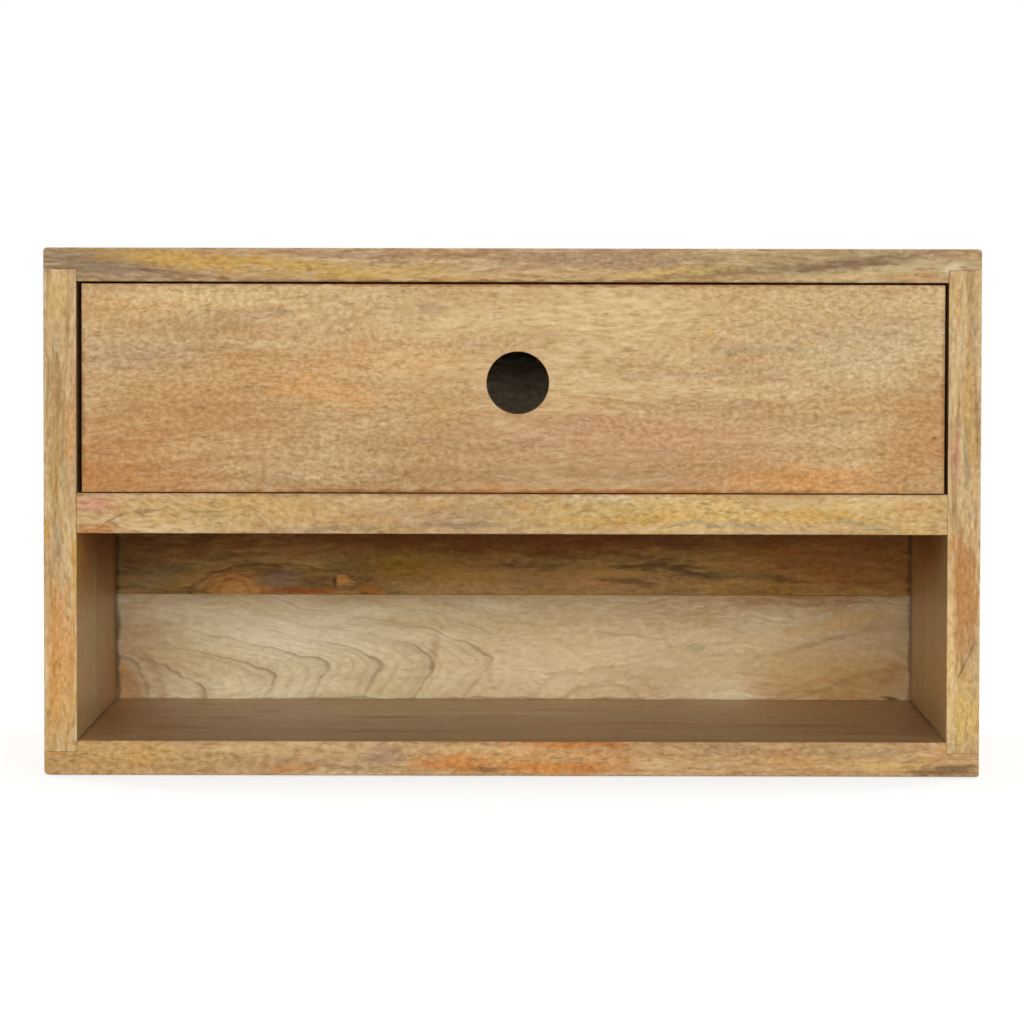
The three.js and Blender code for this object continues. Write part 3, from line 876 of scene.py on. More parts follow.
BOTTOM_MARKS = (
    Mark(0.012, 0.8, 14, 5, APRICOT, 0.7),
    Mark(0.09, 0.45, 80, 12, GOLD, 0.3, fray=0.5),
    Mark(0.103, 0.6, 22, 5, GOLD, 0.6),
    Mark(0.23, 0.3, 70, 7, HAZEL, 0.5),
    Mark(0.268, 0.2, 19, 2, AMBER, 0.4),
    wash(0.365, 0.55, 16, 11, MAUVE, 0.9, fray=1),
    Mark(0.335, 0.2, 22, 3, ASH, 0.5),
    Mark(0.476, 0.8, 40, 4, BUTTER, 0.5),
    wash(0.49, 0.4, 60, 9, APRICOT, 0.5, fray=1),
    Mark(0.44, 0.3, 30, 6, AMBER, 0.7),
    Mark(0.545, 0.22, 46, 4, AMBER, 0.8),
    Mark(0.476, 0.2, 12, 2.5, UMBER, 0.7),
    Mark(0.555, 0.9, 44, 2.2, AMBER, 0.85),
    Mark(0.615, 0.92, 10, 2, GINGER, 0.7),
    Mark(0.59, 0.55, 50, 3.5, APRICOT, 0.4, turn=-3),
    Mark(0.743, 0.75, 38, 4, HAZEL, 0.6),
    Mark(0.807, 0.45, 30, 3, GOLD, 0.5),
    Mark(0.871, 0.5, 90, 12, CARAMEL, 0.45),
    Mark(0.871, 0.7, 38, 4, MIST, 0.3),
    Mark(0.9, 0.3, 40, 3, WHEAT, 0.5),
    Mark(0.978, 0.85, 12, 4, APRICOT, 0.7),
    Mark(0.965, 0.18, 24, 3.5, UMBER, 0.8, turn=2),
)
FLOOR_MARKS = (
    # Painted reflection: a lighter patch in the rear half of the bay floor, where the pale back board would
    # reflect
    deep(0.32, 0.6, 1, 100, 90, 3, CREAM, 0.35, fray=0.4),
    Mark(0.86, 1, 50, 3, CARAMEL, 0.6, y_share=0.3, reach_y=45),
    deep(0.06, 0.5, 1, 30, 120, 3, GINGER, 0.4, fray=1),
    deep(0.355, 0.52, 1, 30, 10, 3, RUSSET, 0.9),
    deep(0.37, 0.52, 1, 10, 8, 3, BARK, 0.6),
    deep(0.22, 0.65, 1, 12, 10, 3, RUSSET, 0.8),
    deep(0.185, 0.5, 1, 14, 12, 3, RUSSET, 0.8),
    deep(0.13, 0.3, 1, 34, 14, 3, UMBER, 0.5, fray=0.4),
    deep(0.56, 0.72, 1, 40, 10, 3, RUSSET, 0.5),
    Mark(0.37, 1, 50, 3, UMBER, 0.5, y_share=0.2, reach_y=10, fray=0.4),
    Mark(0.64, 1, 60, 3, UMBER, 0.4, y_share=0.4, reach_y=10, fray=0.4),
    # Painted reflection: a lighter streak near the back of the floor, for the reflection of the pale back
    # board
    Mark(0.48, 1, 80, 3, CREAM, 0.35, y_share=0.62, reach_y=14, fray=0.4),
    deep(0.76, 0.7, 1, 60, 26, 3, GOLD, 0.5, fray=0.4),
    deep(0.81, 0.36, 1, 46, 16, 3, RUSSET, 0.7, fray=0.4),
    deep(0.89, 0.2, 1, 26, 12, 3, RUSSET, 0.5, fray=0.4),
    deep(0.5, 0.03, 1, 300, 14, 3, RUSSET, 0.45, soft_share=0.8),
    # Painted shade: dark lines where the floor meets the back boards and both side boards
    Mark(0.5, 1, 300, 3, BARK, 0.6, y_share=0.955, reach_y=7, fray=0.1),
    Mark(0.034, 1, 4, 3, BARK, 0.6, y_share=0.5, reach_y=200, fray=0.1),
    Mark(0.966, 1, 4, 3, BARK, 0.6, y_share=0.5, reach_y=200, fray=0.1),
)
SHELF_MARKS = (
    # Painted shade: a dark line along the upper front edge, beside the gap below the drawer
    Mark(0.5, 1, 300, 1.6, RUSSET, 0.5, reach_y=3, fray=0.2),
    Mark(0.4, 0.4, 90, 16, HAZEL, 0.3, fray=0.5),
    wash(0.54, 0.5, 100, 16, ASH, 0.5),
    Mark(0.66, 0.5, 120, 14, WHEAT, 0.6, fray=0.5),
    Mark(0.18, 0.5, 90, 14, GOLD, 0.3, fray=0.5),
    Mark(0.94, 0.5, 60, 14, WHEAT, 0.5, fray=0.5),
    Mark(0.02, 0.75, 20, 6, BLUSH, 0.85),
    Mark(0.02, 0.1, 16, 4, GINGER, 0.85, turn=6),
    Mark(0.04, 0.3, 10, 1, UMBER, 0.7, turn=26),
    Mark(0.084, 0.58, 17, 1, UMBER, 0.45, turn=8),
    Mark(0.155, 0.43, 8, 1.5, ASH, 0.5),
    Mark(0.3, 0.12, 40, 3.4, ASH, 0.7),
    Mark(0.44, 0.2, 36, 3.6, ASH, 0.7),
    Mark(0.406, 0.74, 17, 3, APRICOT, 0.3),
    Mark(0.51, 0.66, 10, 3, APRICOT, 0.5),
    Mark(0.624, 0.87, 48, 2.5, CREAM, 0.4),
    Mark(0.64, 0.35, 50, 3, GOLD, 0.7, turn=4),
    Mark(0.74, 0.28, 34, 2, MIST, 0.6, turn=-2),
    Mark(0.85, 0.45, 40, 4, GOLD, 0.6, turn=-4),
    Mark(0.9, 0.24, 22, 1.8, MIST, 0.6, turn=-10),
    Mark(0.96, 0.7, 24, 5, APRICOT, 0.25),
    Mark(0.99, 0.3, 8, 6, HAZEL, 0.4),
)

SIDES = Look(
    along="Z", gold_amount=0.5, blush_amount=0.4, ash=MIST, ash_amount=0.4, vein_dark=srgb(156, 124, 78),
    zone_size=(90, 8), vein_amount=0.85, vein_size=(50, 3), fibre_size=(8, 2), fibre_amount=0.55,
    worm_amount=0.6, figure_low=0.42, figure_high=0.56, wander=6, pore_amount=0.35)

# On both side boards, x_share tells the inner face from the outer one
LEFT_MARKS = (
    wash(0.4, 0.64, 12, 66, OLIVE, 0.4),
    Mark(0.5, 0.19, 12, 50, APRICOT, 0.7, fray=0.5),
    Mark(0.5, 0.08, 12, 26, GOLD, 0.35),
    Mark(0.43, 0.94, 7, 17, WHEAT, 0.5),
    Mark(0.45, 0.76, 5, 22, HAZEL, 0.6),
    Mark(0.28, 0.74, 1, 12, UMBER, 0.5),
    Mark(0.83, 0.65, 2, 22, APRICOT, 0.6),
    Mark(0.6, 0.585, 2.4, 14, MIST, 0.5),
    Mark(0.4, 0.44, 2.4, 12, MIST, 0.7),
    Mark(0.08, 0.46, 2, 10, GOLD, 0.8),
    deep(0, 0.5, 0.6, 6, 40, 110, WHEAT, 0.5, fray=0.4),
    deep(1, 0.16, 0.24, 6, 56, 64, APRICOT, 0.6, soft_share=0.8),
    deep(1, 0.69, 0.24, 6, 68, 64, CARAMEL, 0.75, soft_share=0.1, fray=0.15),
    deep(1, 0.4, 0.2, 3, 150, 36, WHEAT, 0.7),
    # Painted shade: the next three marks darken the inner face just under the shelf with a warm brown
    Mark(1, 0.447, 2, 34, RUSSET, 0.8, y_share=0.45, reach_y=150),
    deep(1, 0.85, 0.42, 3, 90, 26, RUSSET, 0.5),
    deep(1, 0.15, 0.4, 3, 80, 34, AMBER, 0.6),
    deep(1, 0.04, 0.4, 3, 30, 40, GOLD, 1, soft_share=0.8),
    deep(1, 0.5, 0.2, 3, 26, 70, OLIVE, 0.4),
    # Painted shade: the next three marks darken the inner face in its corners with the back boards and the
    # floor
    Mark(1, 0.24, 4, 80, UMBER, 0.6, y_share=0.95, reach_y=26, fray=0.2),
    Mark(1, 0.24, 4, 80, BARK, 0.8, y_share=0.96, reach_y=5, fray=0.1),
    Mark(1, 0.02, 4, 2, BARK, 0.7, y_share=0.5, reach_y=200, fray=0.1),
)
RIGHT_MARKS = (
    Mark(0.24, 0.94, 6, 17, WHEAT, 0.5),
    Mark(0.33, 0.916, 1.2, 22, BLUSH, 0.65),
    Mark(0.78, 0.885, 2.4, 7, MIST, 0.7),
    Mark(0.8, 0.833, 2.4, 5, MIST, 0.5),
    Mark(0.24, 0.616, 3, 17, BLUSH, 0.6),
    Mark(0.54, 0.606, 1.2, 22, MIST, 0.7),
    Mark(0.54, 0.078, 12, 20, WHEAT, 0.85),
    wash(0.5, 0.12, 12, 30, GOLD, 0.25),
    Mark(0.45, 0.337, 12, 42, CARAMEL, 0.9, turn=-8, soft_share=0.5),
    wash(0.4, 0.33, 8, 26, GINGER, 0.35, turn=-8),
    Mark(0.12, 0.43, 2, 7, AMBER, 0.7),
    Mark(0.12, 0.275, 2, 10, RUST, 0.5),
    Mark(0.57, 0.192, 13, 0.8, UMBER, 0.7, turn=65),
    deep(1, 0.4, 0.5, 6, 36, 110, BLUSH, 0.45, fray=0.4),
    deep(1, 0.75, 0.5, 6, 30, 110, WHEAT, 0.45, fray=0.4),
    deep(0, 0.35, 0.2, 6, 180, 80, BUTTER, 1, soft_share=0.5),
    deep(0, 0.4, 0.2, 6, 180, 40, BUFF, 0.9),
    deep(0, 0.25, 0.2, 6, 80, 60, APRICOT, 0.4, soft_share=0.8),
    # Painted shade: the next two marks darken the inner face just under the shelf with a warm brown
    deep(0, 0.5, 0.42, 6, 160, 34, GINGER, 0.8),
    Mark(0, 0.447, 2, 30, RUSSET, 0.8, y_share=0.5, reach_y=150),
    deep(0, 0.62, 0.22, 3, 22, 60, OLIVE, 0.3),
    deep(0, 0.06, 0.22, 3, 26, 60, AMBER, 0.5),
    # Painted shade: the next three marks darken the inner face in its corners with the back boards and the
    # floor
    Mark(0, 0.24, 4, 80, UMBER, 0.4, y_share=0.95, reach_y=20, fray=0.2),
    Mark(0, 0.24, 4, 80, BARK, 0.8, y_share=0.96, reach_y=5, fray=0.1),
    Mark(0, 0.02, 4, 2, BARK, 0.7, y_share=0.5, reach_y=200, fray=0.1),
)


class NIGHTSTAND_OT_top(bpy.types.Operator):
    """Builds the top board"""
    bl_idname = "nightstand.top"
    bl_label = "Top Board"

    def execute(self, context):
        foot = TOP_UNDER_Z - OVERRUN
        shapes = [*rabbets(foot, SIDE_HEAD_Z), back_room(foot, REBATE_HEAD_Z)]
        build_board("top_panel", "cabinet", "carcass_wood", TOP, TOP_MARKS, shapes)
        return {"FINISHED"}


class NIGHTSTAND_OT_bottom(bpy.types.Operator):
    """Builds the bottom board"""
    bl_idname = "nightstand.bottom"
    bl_label = "Bottom Board"

    def execute(self, context):
        head = BAY_FLOOR_Z + OVERRUN
        shapes = [*rabbets(SIDE_FOOT_Z, head), back_room(REBATE_FOOT_Z, head)]
        build_board("bottom_panel", "cabinet", "carcass_wood", BOTTOM, BOTTOM_MARKS + FLOOR_MARKS, shapes)
        return {"FINISHED"}


class NIGHTSTAND_OT_sides(bpy.types.Operator):
    """Builds both side boards"""
    bl_idname = "nightstand.sides"
    bl_label = "Side Boards"

    def execute(self, context):
        for node, seed, marks in (("side_panel_left", 3, LEFT_MARKS), ("side_panel_right", 4, RIGHT_MARKS)):
            low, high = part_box(node)
            shapes = [back_room(low.z - OVERRUN, high.z + OVERRUN), *bores_in(low, high)]
            build_board(node, "cabinet", "carcass_wood", replace(SIDES, seed=seed), marks, shapes)
        return {"FINISHED"}


class NIGHTSTAND_OT_shelf(bpy.types.Operator):
    """Builds the shelf that the drawer slides on"""
    bl_idname = "nightstand.shelf"
    bl_label = "Middle Shelf"

    def execute(self, context):
        shapes = bores_in(*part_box("middle_shelf"))
        build_board("middle_shelf", "cabinet", "carcass_wood", SHELF, SHELF_MARKS, shapes)
        return {"FINISHED"}


BACK_LOWER = Look(
    along="X", pale=srgb(228, 212, 172), tan=srgb(212, 192, 148), gold=srgb(218, 196, 138), gold_amount=0.35,
    blush=srgb(210, 182, 148), blush_amount=0.4, ash=srgb(184, 170, 138), ash_amount=0.3,
    vein_dark=srgb(190, 164, 124), vein_light=CREAM, vein_amount=0.4, vein_size=(30, 4),
    fibre_amount=0.26, fibre_size=(7, 1.8), worm_amount=0.24, worm_size=(4, 3),
    pore_amount=0.12, ring=srgb(126, 94, 68), ring_amount=0.55, ring_spacing=14.2, ring_line_share=0.13,
    ring_end=30, ring_lines=3.6, bend_reach=26, pith_up=2, pith_in=-12, lean=0.1, cone=0.5, skew=0.5,
    wander_size=(60, 40), curl=3, curl_size=(15, 11), shine=0.1, seed=6)
BACK_MIDDLE = Look(
    along="X", pale=srgb(190, 150, 88), tan=srgb(164, 126, 70), gold=srgb(184, 138, 54), gold_amount=0.5,
    blush=srgb(190, 130, 78), blush_amount=0.4, ash=srgb(122, 108, 70), ash_amount=0.7,
    vein_dark=srgb(108, 86, 50), vein_light=srgb(194, 156, 90), vein_amount=0.75, vein_size=(30, 5),
    fibre_amount=0.4, fibre_size=(8, 2.4), worm_amount=0.5, pore=BARK, pore_amount=0.25,
    shine=0.06, seed=7)
BACK_UPPER = Look(along="X", seed=8)

LOWER_MARKS = (
    # Painted shade: a darker band along the top edge, where the shelf's shadow reaches
    Mark(0.5, 1, 300, 8, HAZEL, 0.4, fray=0.4),
    wash(0.64, 0.45, 150, 44, BUTTER, 0.4, fray=0.3),
    wash(0.02, 0.45, 50, 60, HAZEL, 0.45, fray=0.3),
    wash(0.235, 0.62, 60, 34, IVORY, 0.55, fray=0.3),
    wash(0.69, 0.3, 56, 36, MAUVE, 0.25, fray=0.4),
    wash(0.815, 0.18, 26, 22, CARAMEL, 0.5, fray=0.4),
    Mark(0.93, 0.5, 90, 48, HONEY, 0.5, fray=0.4),
    wash(0.91, 0.28, 66, 26, GOLD, 0.45, fray=0.3),
    wash(0.9, 0.22, 70, 16, CARAMEL, 0.35, turn=8),
    Mark(0.64, 0.85, 90, 10, HAZEL, 0.3, fray=0.5),
    Mark(0.019, 0.12, 16, 23, CARAMEL, 0.7, soft_share=0.3, fray=0.15),
    Mark(0.019, 0.12, 17.5, 25, UMBER, 0.4, rim_share=0.2, fray=0.15),
    Mark(0.019, 0.12, 28, 33, HAZEL, 0.4, rim_share=0.3, fray=0.15),
    Mark(0.127, 0.16, 8, 10, HAZEL, 0.4, fray=0.5),
    Mark(0.18, 0.29, 16, 7.4, CREAM, 0.7, fray=0.5),
    Mark(0.313, 0.51, 26, 10, CREAM, 0.55, fray=0.5),
    Mark(0.405, 0.52, 3.5, 20, HAZEL, 0.4, turn=-10, fray=0.5),
    Mark(0.47, 0.4, 3, 16, HAZEL, 0.3, turn=12, fray=0.5),
    Mark(0.52, 0.3, 30, 12, CREAM, 0.4),
    Mark(0.609, 0, 17, 10, MAUVE, 0.45, rim_share=0.4, fray=0.2),
    Mark(0.609, 0, 28, 18, HAZEL, 0.4, rim_share=0.24, fray=0.2),
    Mark(0.6, 0, 40, 26, HAZEL, 0.3, rim_share=0.18, fray=0.2),
    Mark(0.605, 0.08, 6, 4, CARAMEL, 0.5),
    wash(0.727, 0.55, 24, 4, MIST, 0.5, fray=1),
    wash(0.85, 1.02, 110, 18, CARAMEL, 0.65, turn=5),
    wash(0.9, 1.06, 70, 12, RUSSET, 0.35, turn=5),
    wash(0.89, 0.77, 62, 7, BUTTER, 0.8, turn=14),
    wash(0.9, 0.78, 50, 4, WHEAT, 0.4, turn=14, fray=0.6),
    wash(0.87, 0.6, 50, 2.6, HAZEL, 0.5, turn=15),
    wash(0.9, 0.27, 40, 2.6, HAZEL, 0.5, turn=18),
    wash(0.955, 0.34, 18, 8, CARAMEL, 0.6, turn=18),
    Mark(0.89, 0.15, 30, 5, CARAMEL, 0.4),
    wash(0.64, 0.66, 40, 1.6, HAZEL, 0.4, turn=-5),
    # Painted shade: a small dark gap at the lower right corner, a dark line at the floor and dark lines at
    # both side walls
    Mark(0.96, 0.14, 7, 1.3, BARK, 0.8, reach_y=4, fray=0.4),
    Mark(0.5, 0.125, 300, 1.2, UMBER, 0.5, reach_y=4, fray=0.1),
    Mark(0.018, 0.5, 2.6, 60, BARK, 0.7, reach_y=4, fray=0.1),
    Mark(0.982, 0.5, 2.2, 60, BARK, 0.55, reach_y=4, fray=0.1),
)
MIDDLE_MARKS = (
    # Painted shadow: a dark band on the front face just under the shelf
    Mark(0.5, 0.36, 300, 15, RUSSET, 0.85, reach_y=5, fray=0.5),
    wash(0.04, 0.2, 50, 26, UMBER, 0.45),
    wash(0.9, 0.2, 90, 22, AMBER, 0.55),
    Mark(0.62, 0.06, 110, 10, HONEY, 0.4),
    Mark(0.42, 0.04, 60, 6, HONEY, 0.4),
    wash(0.06, 0.1, 26, 9, MIST, 0.45, turn=16, fray=0.6),
    wash(0.37, 0.19, 44, 12, OLIVE, 0.9, fray=0.6),
    wash(0.44, 0.1, 30, 6, GOLD, 0.4, fray=1),
    Mark(0.6, 0.1, 22, 7, APRICOT, 0.4),
    Mark(0.165, 0.05, 24, 9, APRICOT, 0.65, soft_share=0.6, fray=0.4),
    Mark(0.16, 0, 10, 9, RUST, 0.5, rim_share=0.3, fray=0.1),
    Mark(0.16, 0, 18, 12, RUSSET, 0.4, rim_share=0.2, fray=0.1),
    Mark(0.218, 0.09, 17, 6, ASH, 0.8, soft_share=0.5, fray=0.3),
    Mark(0.262, 0.075, 13, 4.4, UMBER, 0.7, soft_share=0.6, fray=0.3),
    Mark(0.215, 0, 50, 17, BARK, 0.45, rim_share=0.14, fray=0.12),
    Mark(0.215, 0, 42, 12, UMBER, 0.35, rim_share=0.16, fray=0.12),
    Mark(0.245, 0.02, 26, 3, RUST, 0.8, fray=0.6),
    Mark(0.328, 0.03, 12, 3, GINGER, 0.9, turn=-12, fray=0.6),
    Mark(0.293, 0.085, 5, 4, APRICOT, 0.85, soft_share=0.6, fray=0.3),
    Mark(0.283, 0.08, 2, 5, BARK, 0.7, fray=0.3),
    wash(0.32, 0.09, 10, 2.6, BARK, 0.5, turn=-14),
    Mark(0.68, 0.17, 30, 5, BARK, 0.6, turn=-4),
    Mark(0.725, 0.12, 20, 3, BARK, 0.5, turn=-4),
    Mark(0.83, 0.09, 16, 2.4, BARK, 0.5, turn=-6),
    Mark(0.64, 0.08, 30, 2.4, BARK, 0.45, turn=-6),
    Mark(0.54, 0.19, 30, 5, BARK, 0.4, turn=-4),
    # Painted shade: dark lines in the corners with both side walls
    Mark(0.018, 0.3, 2.6, 60, BARK, 0.7, reach_y=4, fray=0.1),
    Mark(0.982, 0.3, 2.2, 60, BARK, 0.55, reach_y=4, fray=0.1),
)
BACK_BOARDS = {
    "back_board_lower": ("back_wood_pale", BACK_LOWER, LOWER_MARKS),
    "back_board_middle": ("back_wood_dark", BACK_MIDDLE, MIDDLE_MARKS),
    "back_board_upper": ("carcass_wood", BACK_UPPER, ()),
}

HANGER_FIT = 0.3 * MM
KEY_POCKET_DEPTH = 7.9 * MM
KEY_POCKET_MARGIN = 1.5 * MM
KEYHOLE_RADIUS = 4.75 * MM
KEYSLOT_WIDTH = 5 * MM
KEYSLOT_RISE = 9 * MM
KEYHOLE_DROP = 5 * MM


def round_ended(centre_x, centre_z, half_width, half_height, y_low, y_high):
    """An upright plate with round ends, as a bmesh."""
    shape = bmesh.new()
    bmesh.ops.create_circle(shape, cap_ends=True, radius=half_width, segments=2 * ROUND_STEPS)
    turn = Matrix.Rotation(math.pi / 2, 3, "X")
    bmesh.ops.rotate(shape, cent=(0, 0, 0), matrix=turn, verts=shape.verts)
    rise = half_height - half_width
    for vert in shape.verts:
        vert.co.z += math.copysign(rise, vert.co.z)
    grown = bmesh.ops.extrude_face_region(shape, geom=shape.faces[:])
    top = [item for item in grown["geom"] if isinstance(item, bmesh.types.BMVert)]
    bmesh.ops.translate(shape, vec=(0, y_high - y_low, 0), verts=top)
    bmesh.ops.translate(shape, vec=(centre_x, y_low, centre_z), verts=shape.verts)
    bmesh.ops.recalc_face_normals(shape, faces=shape.faces)
    return shape


def hanger_pockets():
    """Seats of the hangers, the room behind their keyholes, and their screws' bores."""
    half_width = KEYHOLE_RADIUS + KEY_POCKET_MARGIN
    shapes = []
    for side in ("left", "right"):
        low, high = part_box("hanger_plate_" + side)
        middle, half = (low + high) / 2, (high - low) / 2
        shapes.append(round_ended(
            middle.x, middle.z, half.x + HANGER_FIT, half.z + HANGER_FIT, low.y - HANGER_FIT, OVERRUN))
        shapes.append(round_ended(
            middle.x, middle.z - KEYHOLE_DROP + KEYSLOT_RISE / 2, half_width, half_width + KEYSLOT_RISE / 2,
            -KEY_POCKET_DEPTH, OVERRUN))
    return shapes + [screw_bore(node, HANGER_SCREW) for node in HANGER_SCREWS]


class NIGHTSTAND_OT_back(bpy.types.Operator):
    """Builds the three boards of the back"""
    bl_idname = "nightstand.back"
    bl_label = "Back Boards"

    def execute(self, context):
        for node, (slot, look, marks) in BACK_BOARDS.items():
            low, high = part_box(node)
            shapes = bores_in(low, high)
            if node == "back_board_upper":
                shapes.extend(hanger_pockets())

            def width_of(edge):
                # The joint hardly shows in the bay, where both boards meet flush
                joint = lies(edge, "Y", low.y) and lies(edge, "Z", low.z, high.z)
                return 0 if joint else seam_width(edge)

            build_board(node, "cabinet", slot, look, marks, shapes, width_of)
        return {"FINISHED"}


# Hardware

RECESS_DEPTH = 1.5 * MM
RECESS_ABOVE = 0.5 * MM
RECESS_REACH_SHARE = 0.62
RECESS_TAPER = 0.45
SCREW_RIM = 0.25 * MM
HANGER_RIM = 0.3 * MM
PIN_RIM = 0.2 * MM
PIN_POINT = 1.5 * MM
GOLDEN_ANGLE = math.radians(137.5)


def cross_recess(head_radius, width):
    """Two tapered arms that cross, sunk into a screw's flat face at the origin, as bmeshes."""
    reach = RECESS_REACH_SHARE * head_radius
    arms = []
    for turn in (0, math.pi / 2):
        arm = block((-reach, -RECESS_DEPTH, -width / 2), (reach, RECESS_ABOVE, width / 2))
        floor = [vert for vert in arm.verts if vert.co.y < 0]
        bmesh.ops.scale(arm, vec=(RECESS_TAPER, 1, RECESS_TAPER), verts=floor)
        bmesh.ops.rotate(arm, cent=(0, 0, 0), matrix=Matrix.Rotation(turn, 3, "Y"), verts=arm.verts)
        arms.append(arm)
    return arms


def set_screws(nodes, screw, material):
    """A copy of one screw at each node, each turned by a different angle."""
    profile = [
        (0, 0),
        (screw.head_radius - SCREW_RIM, 0),
        (screw.head_radius, SCREW_RIM * 0.6),
        (screw.head_radius, SCREW_RIM),
        (screw.shank_radius, screw.head_depth),
        (screw.shank_radius, screw.length - screw.point),
        (0, screw.length),
    ]
    master = made("screw", turned(profile, ROUND_STEPS, (0, 0, 0), TOWARDS_FRONT))
    carve(master, cross_recess(screw.head_radius, bpy.context.scene.nightstand_steel.recess))
    for count, node in enumerate(nodes):
        mesh = master.data.copy()
        mesh.transform(Matrix.Translation(screw_start(node)) @ Matrix.Rotation(count * GOLDEN_ANGLE, 4, "Y"))
        dress(linked(node + "_zinc", mesh), "cabinet", "zinc_steel", material, node)
    bpy.data.objects.remove(master)


class NIGHTSTAND_OT_screws(bpy.types.Operator):
    """Builds the screws of the back boards and of the hangers"""
    bl_idname = "nightstand.screws"
    bl_label = "Screws"

    def execute(self, context):
        material = zinc_steel("screw_zinc")
        set_screws(BACK_SCREWS, BACK_SCREW, material)
        set_screws(HANGER_SCREWS, HANGER_SCREW, material)
        return {"FINISHED"}


class NIGHTSTAND_OT_hangers(bpy.types.Operator):
    """Builds the two keyhole hangers"""
    bl_idname = "nightstand.hangers"
    bl_label = "Keyhole Hangers"

    def execute(self, context):
        material = zinc_steel("hanger_zinc")
        for side in ("left", "right"):
            node = "hanger_plate_" + side
            low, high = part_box(node)
            middle, half = (low + high) / 2, (high - low) / 2
            hole_z = middle.z - KEYHOLE_DROP
            hole = rod(KEYHOLE_RADIUS, 4 * OVERRUN)
            shapes = [
                turned(hole, 2 * ROUND_STEPS, (middle.x, 2 * OVERRUN, hole_z), TOWARDS_FRONT),
                round_ended(
                    middle.x, hole_z + KEYSLOT_RISE / 2, KEYSLOT_WIDTH / 2,
                    (KEYSLOT_RISE + KEYSLOT_WIDTH) / 2, low.y - OVERRUN, high.y + OVERRUN),
                *(screw_bore(screw, HANGER_SCREW) for screw in HANGER_SCREWS if side in screw),
            ]
            piece = made(node + "_zinc", round_ended(middle.x, middle.z, half.x, half.z, low.y, high.y))
            carve(piece, shapes)
            ease(piece, lambda edge: HANGER_RIM if lies(edge, "Y", low.y, high.y) else 0)
            dress(piece, "cabinet", "zinc_steel", material, node)
        return {"FINISHED"}


class NIGHTSTAND_OT_dowels(bpy.types.Operator):
    """Gives the shelf's dowels their plain turned wood"""
    bl_idname = "nightstand.dowels"
    bl_label = "Dowels"

    def execute(self, context):
        look = Look(along="X", pale=srgb(226, 202, 160), tan=srgb(214, 184, 140), seed=9)
        material = wood("dowel_wood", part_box(DOWELS[0]), look)
        for node in DOWELS:
            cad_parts[node].data.materials.clear()
            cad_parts[node].data.materials.append(material)
        return {"FINISHED"}


# Drawer

FINGER_HOLE_RADIUS = 15 * MM
FINGER_HOLE_ASIDE = 2.25 * MM
FINGER_HOLE_ABOVE = 2.8 * MM
FINGER_HOLE_STEPS = 128
HOLE_TOLERANCE = 0.1 * MM
GROOVE_FIT = 0.2 * MM
GROOVE_PLAY = 0.5 * MM


def bottom_groove(x_low, x_high, y_low, y_high):
    """The groove that the drawer's bottom slides in."""
    low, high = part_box("drawer_bottom")
    return block((x_low, y_low, low.z - GROOVE_FIT), (x_high, y_high, high.z + GROOVE_FIT))


DRAWER = Look(
    along="X", gold_amount=0.2, blush_amount=0.15, ash_amount=0.2, vein_amount=0.3, figure_low=0.5,
    figure_high=0.64, plain_at=25, plain_fade=0.0018, worm_size=(2.7, 1.9), seed=10)
DRAWER_MARKS = (
    wash(0.55, 0, 290, 50, HAZEL, 0.55, fray=0.4),
    wash(0.13, 0.42, 110, 40, CARAMEL, 0.7, fray=0.3),
    wash(0.02, 0.05, 80, 38, GINGER, 0.75, fray=0.3),
    wash(0.62, 0.86, 140, 24, BUTTER, 0.5, fray=0.4),
    wash(0.92, 0.7, 70, 30, OAT, 0.6, fray=0.3),
    wash(0.86, 0.8, 90, 24, HAZEL, 0.25, fray=0.4),
    Mark(0.27, 0.5, 50, 10, APRICOT, 0.45, turn=-10),
    Mark(0.36, 0.64, 70, 16, APRICOT, 0.25, fray=0.5),
    Mark(0.11, 0.92, 90, 7, BUTTER, 0.6),
    wash(0.04, 0.88, 60, 8, APRICOT, 0.35, fray=1),
    wash(0.06, 0.66, 50, 12, MAUVE, 0.5, fray=0.4),
    Mark(0.235, 0.86, 10, 4, ASH, 0.4),
    Mark(0.405, 0.88, 7, 4, ASH, 0.4),
    Mark(0.62, 0.28, 110, 18, BLUSH, 0.35, fray=0.5),
    Mark(0.7, 0.42, 60, 5, HAZEL, 0.4),
    Mark(0.4, 0.24, 90, 7, HAZEL, 0.35),
    Mark(0.786, 0.69, 43, 4, MIST, 0.3),
    Mark(0.726, 0.775, 4, 3, GOLD, 0.6),
    Mark(0.96, 0.22, 32, 26, CARAMEL, 0.55, fray=0.4),
    wash(0.84, 0.06, 64, 13, APRICOT, 0.75),
    wash(0.6, 0.44, 40, 7, CARAMEL, 0.4, fray=0.4),
    wash(0.99, 0.36, 34, 46, CARAMEL, 0.65, fray=0.4),
    Mark(0.55, 0, 110, 4, APRICOT, 0.6),
    # Painted shade: dark rims along the four edges, beside the gaps round the drawer
    Mark(0.5, 1, 300, 1.6, RUSSET, 0.7, fray=0.2),
    Mark(0.5, 0, 300, 2.4, RUSSET, 0.8, fray=0.2),
    Mark(0, 0.5, 2, 80, RUSSET, 0.6, fray=0.2),
    Mark(1, 0.5, 2.4, 80, RUSSET, 0.55, fray=0.2),
    wash(0.988, 0.268, 1.4, 1.3, BARK, 0.65, fray=0),
)
DRAWER_INSIDE = Look(
    along="Y", pale=srgb(212, 190, 152), tan=srgb(198, 170, 130), gold_amount=0.15, blush=srgb(202, 170, 136),
    ash=srgb(176, 156, 126), vein_dark=srgb(180, 152, 114), vein_light=srgb(218, 198, 162), pore=HAZEL,
    shine=0.1, seed=11)
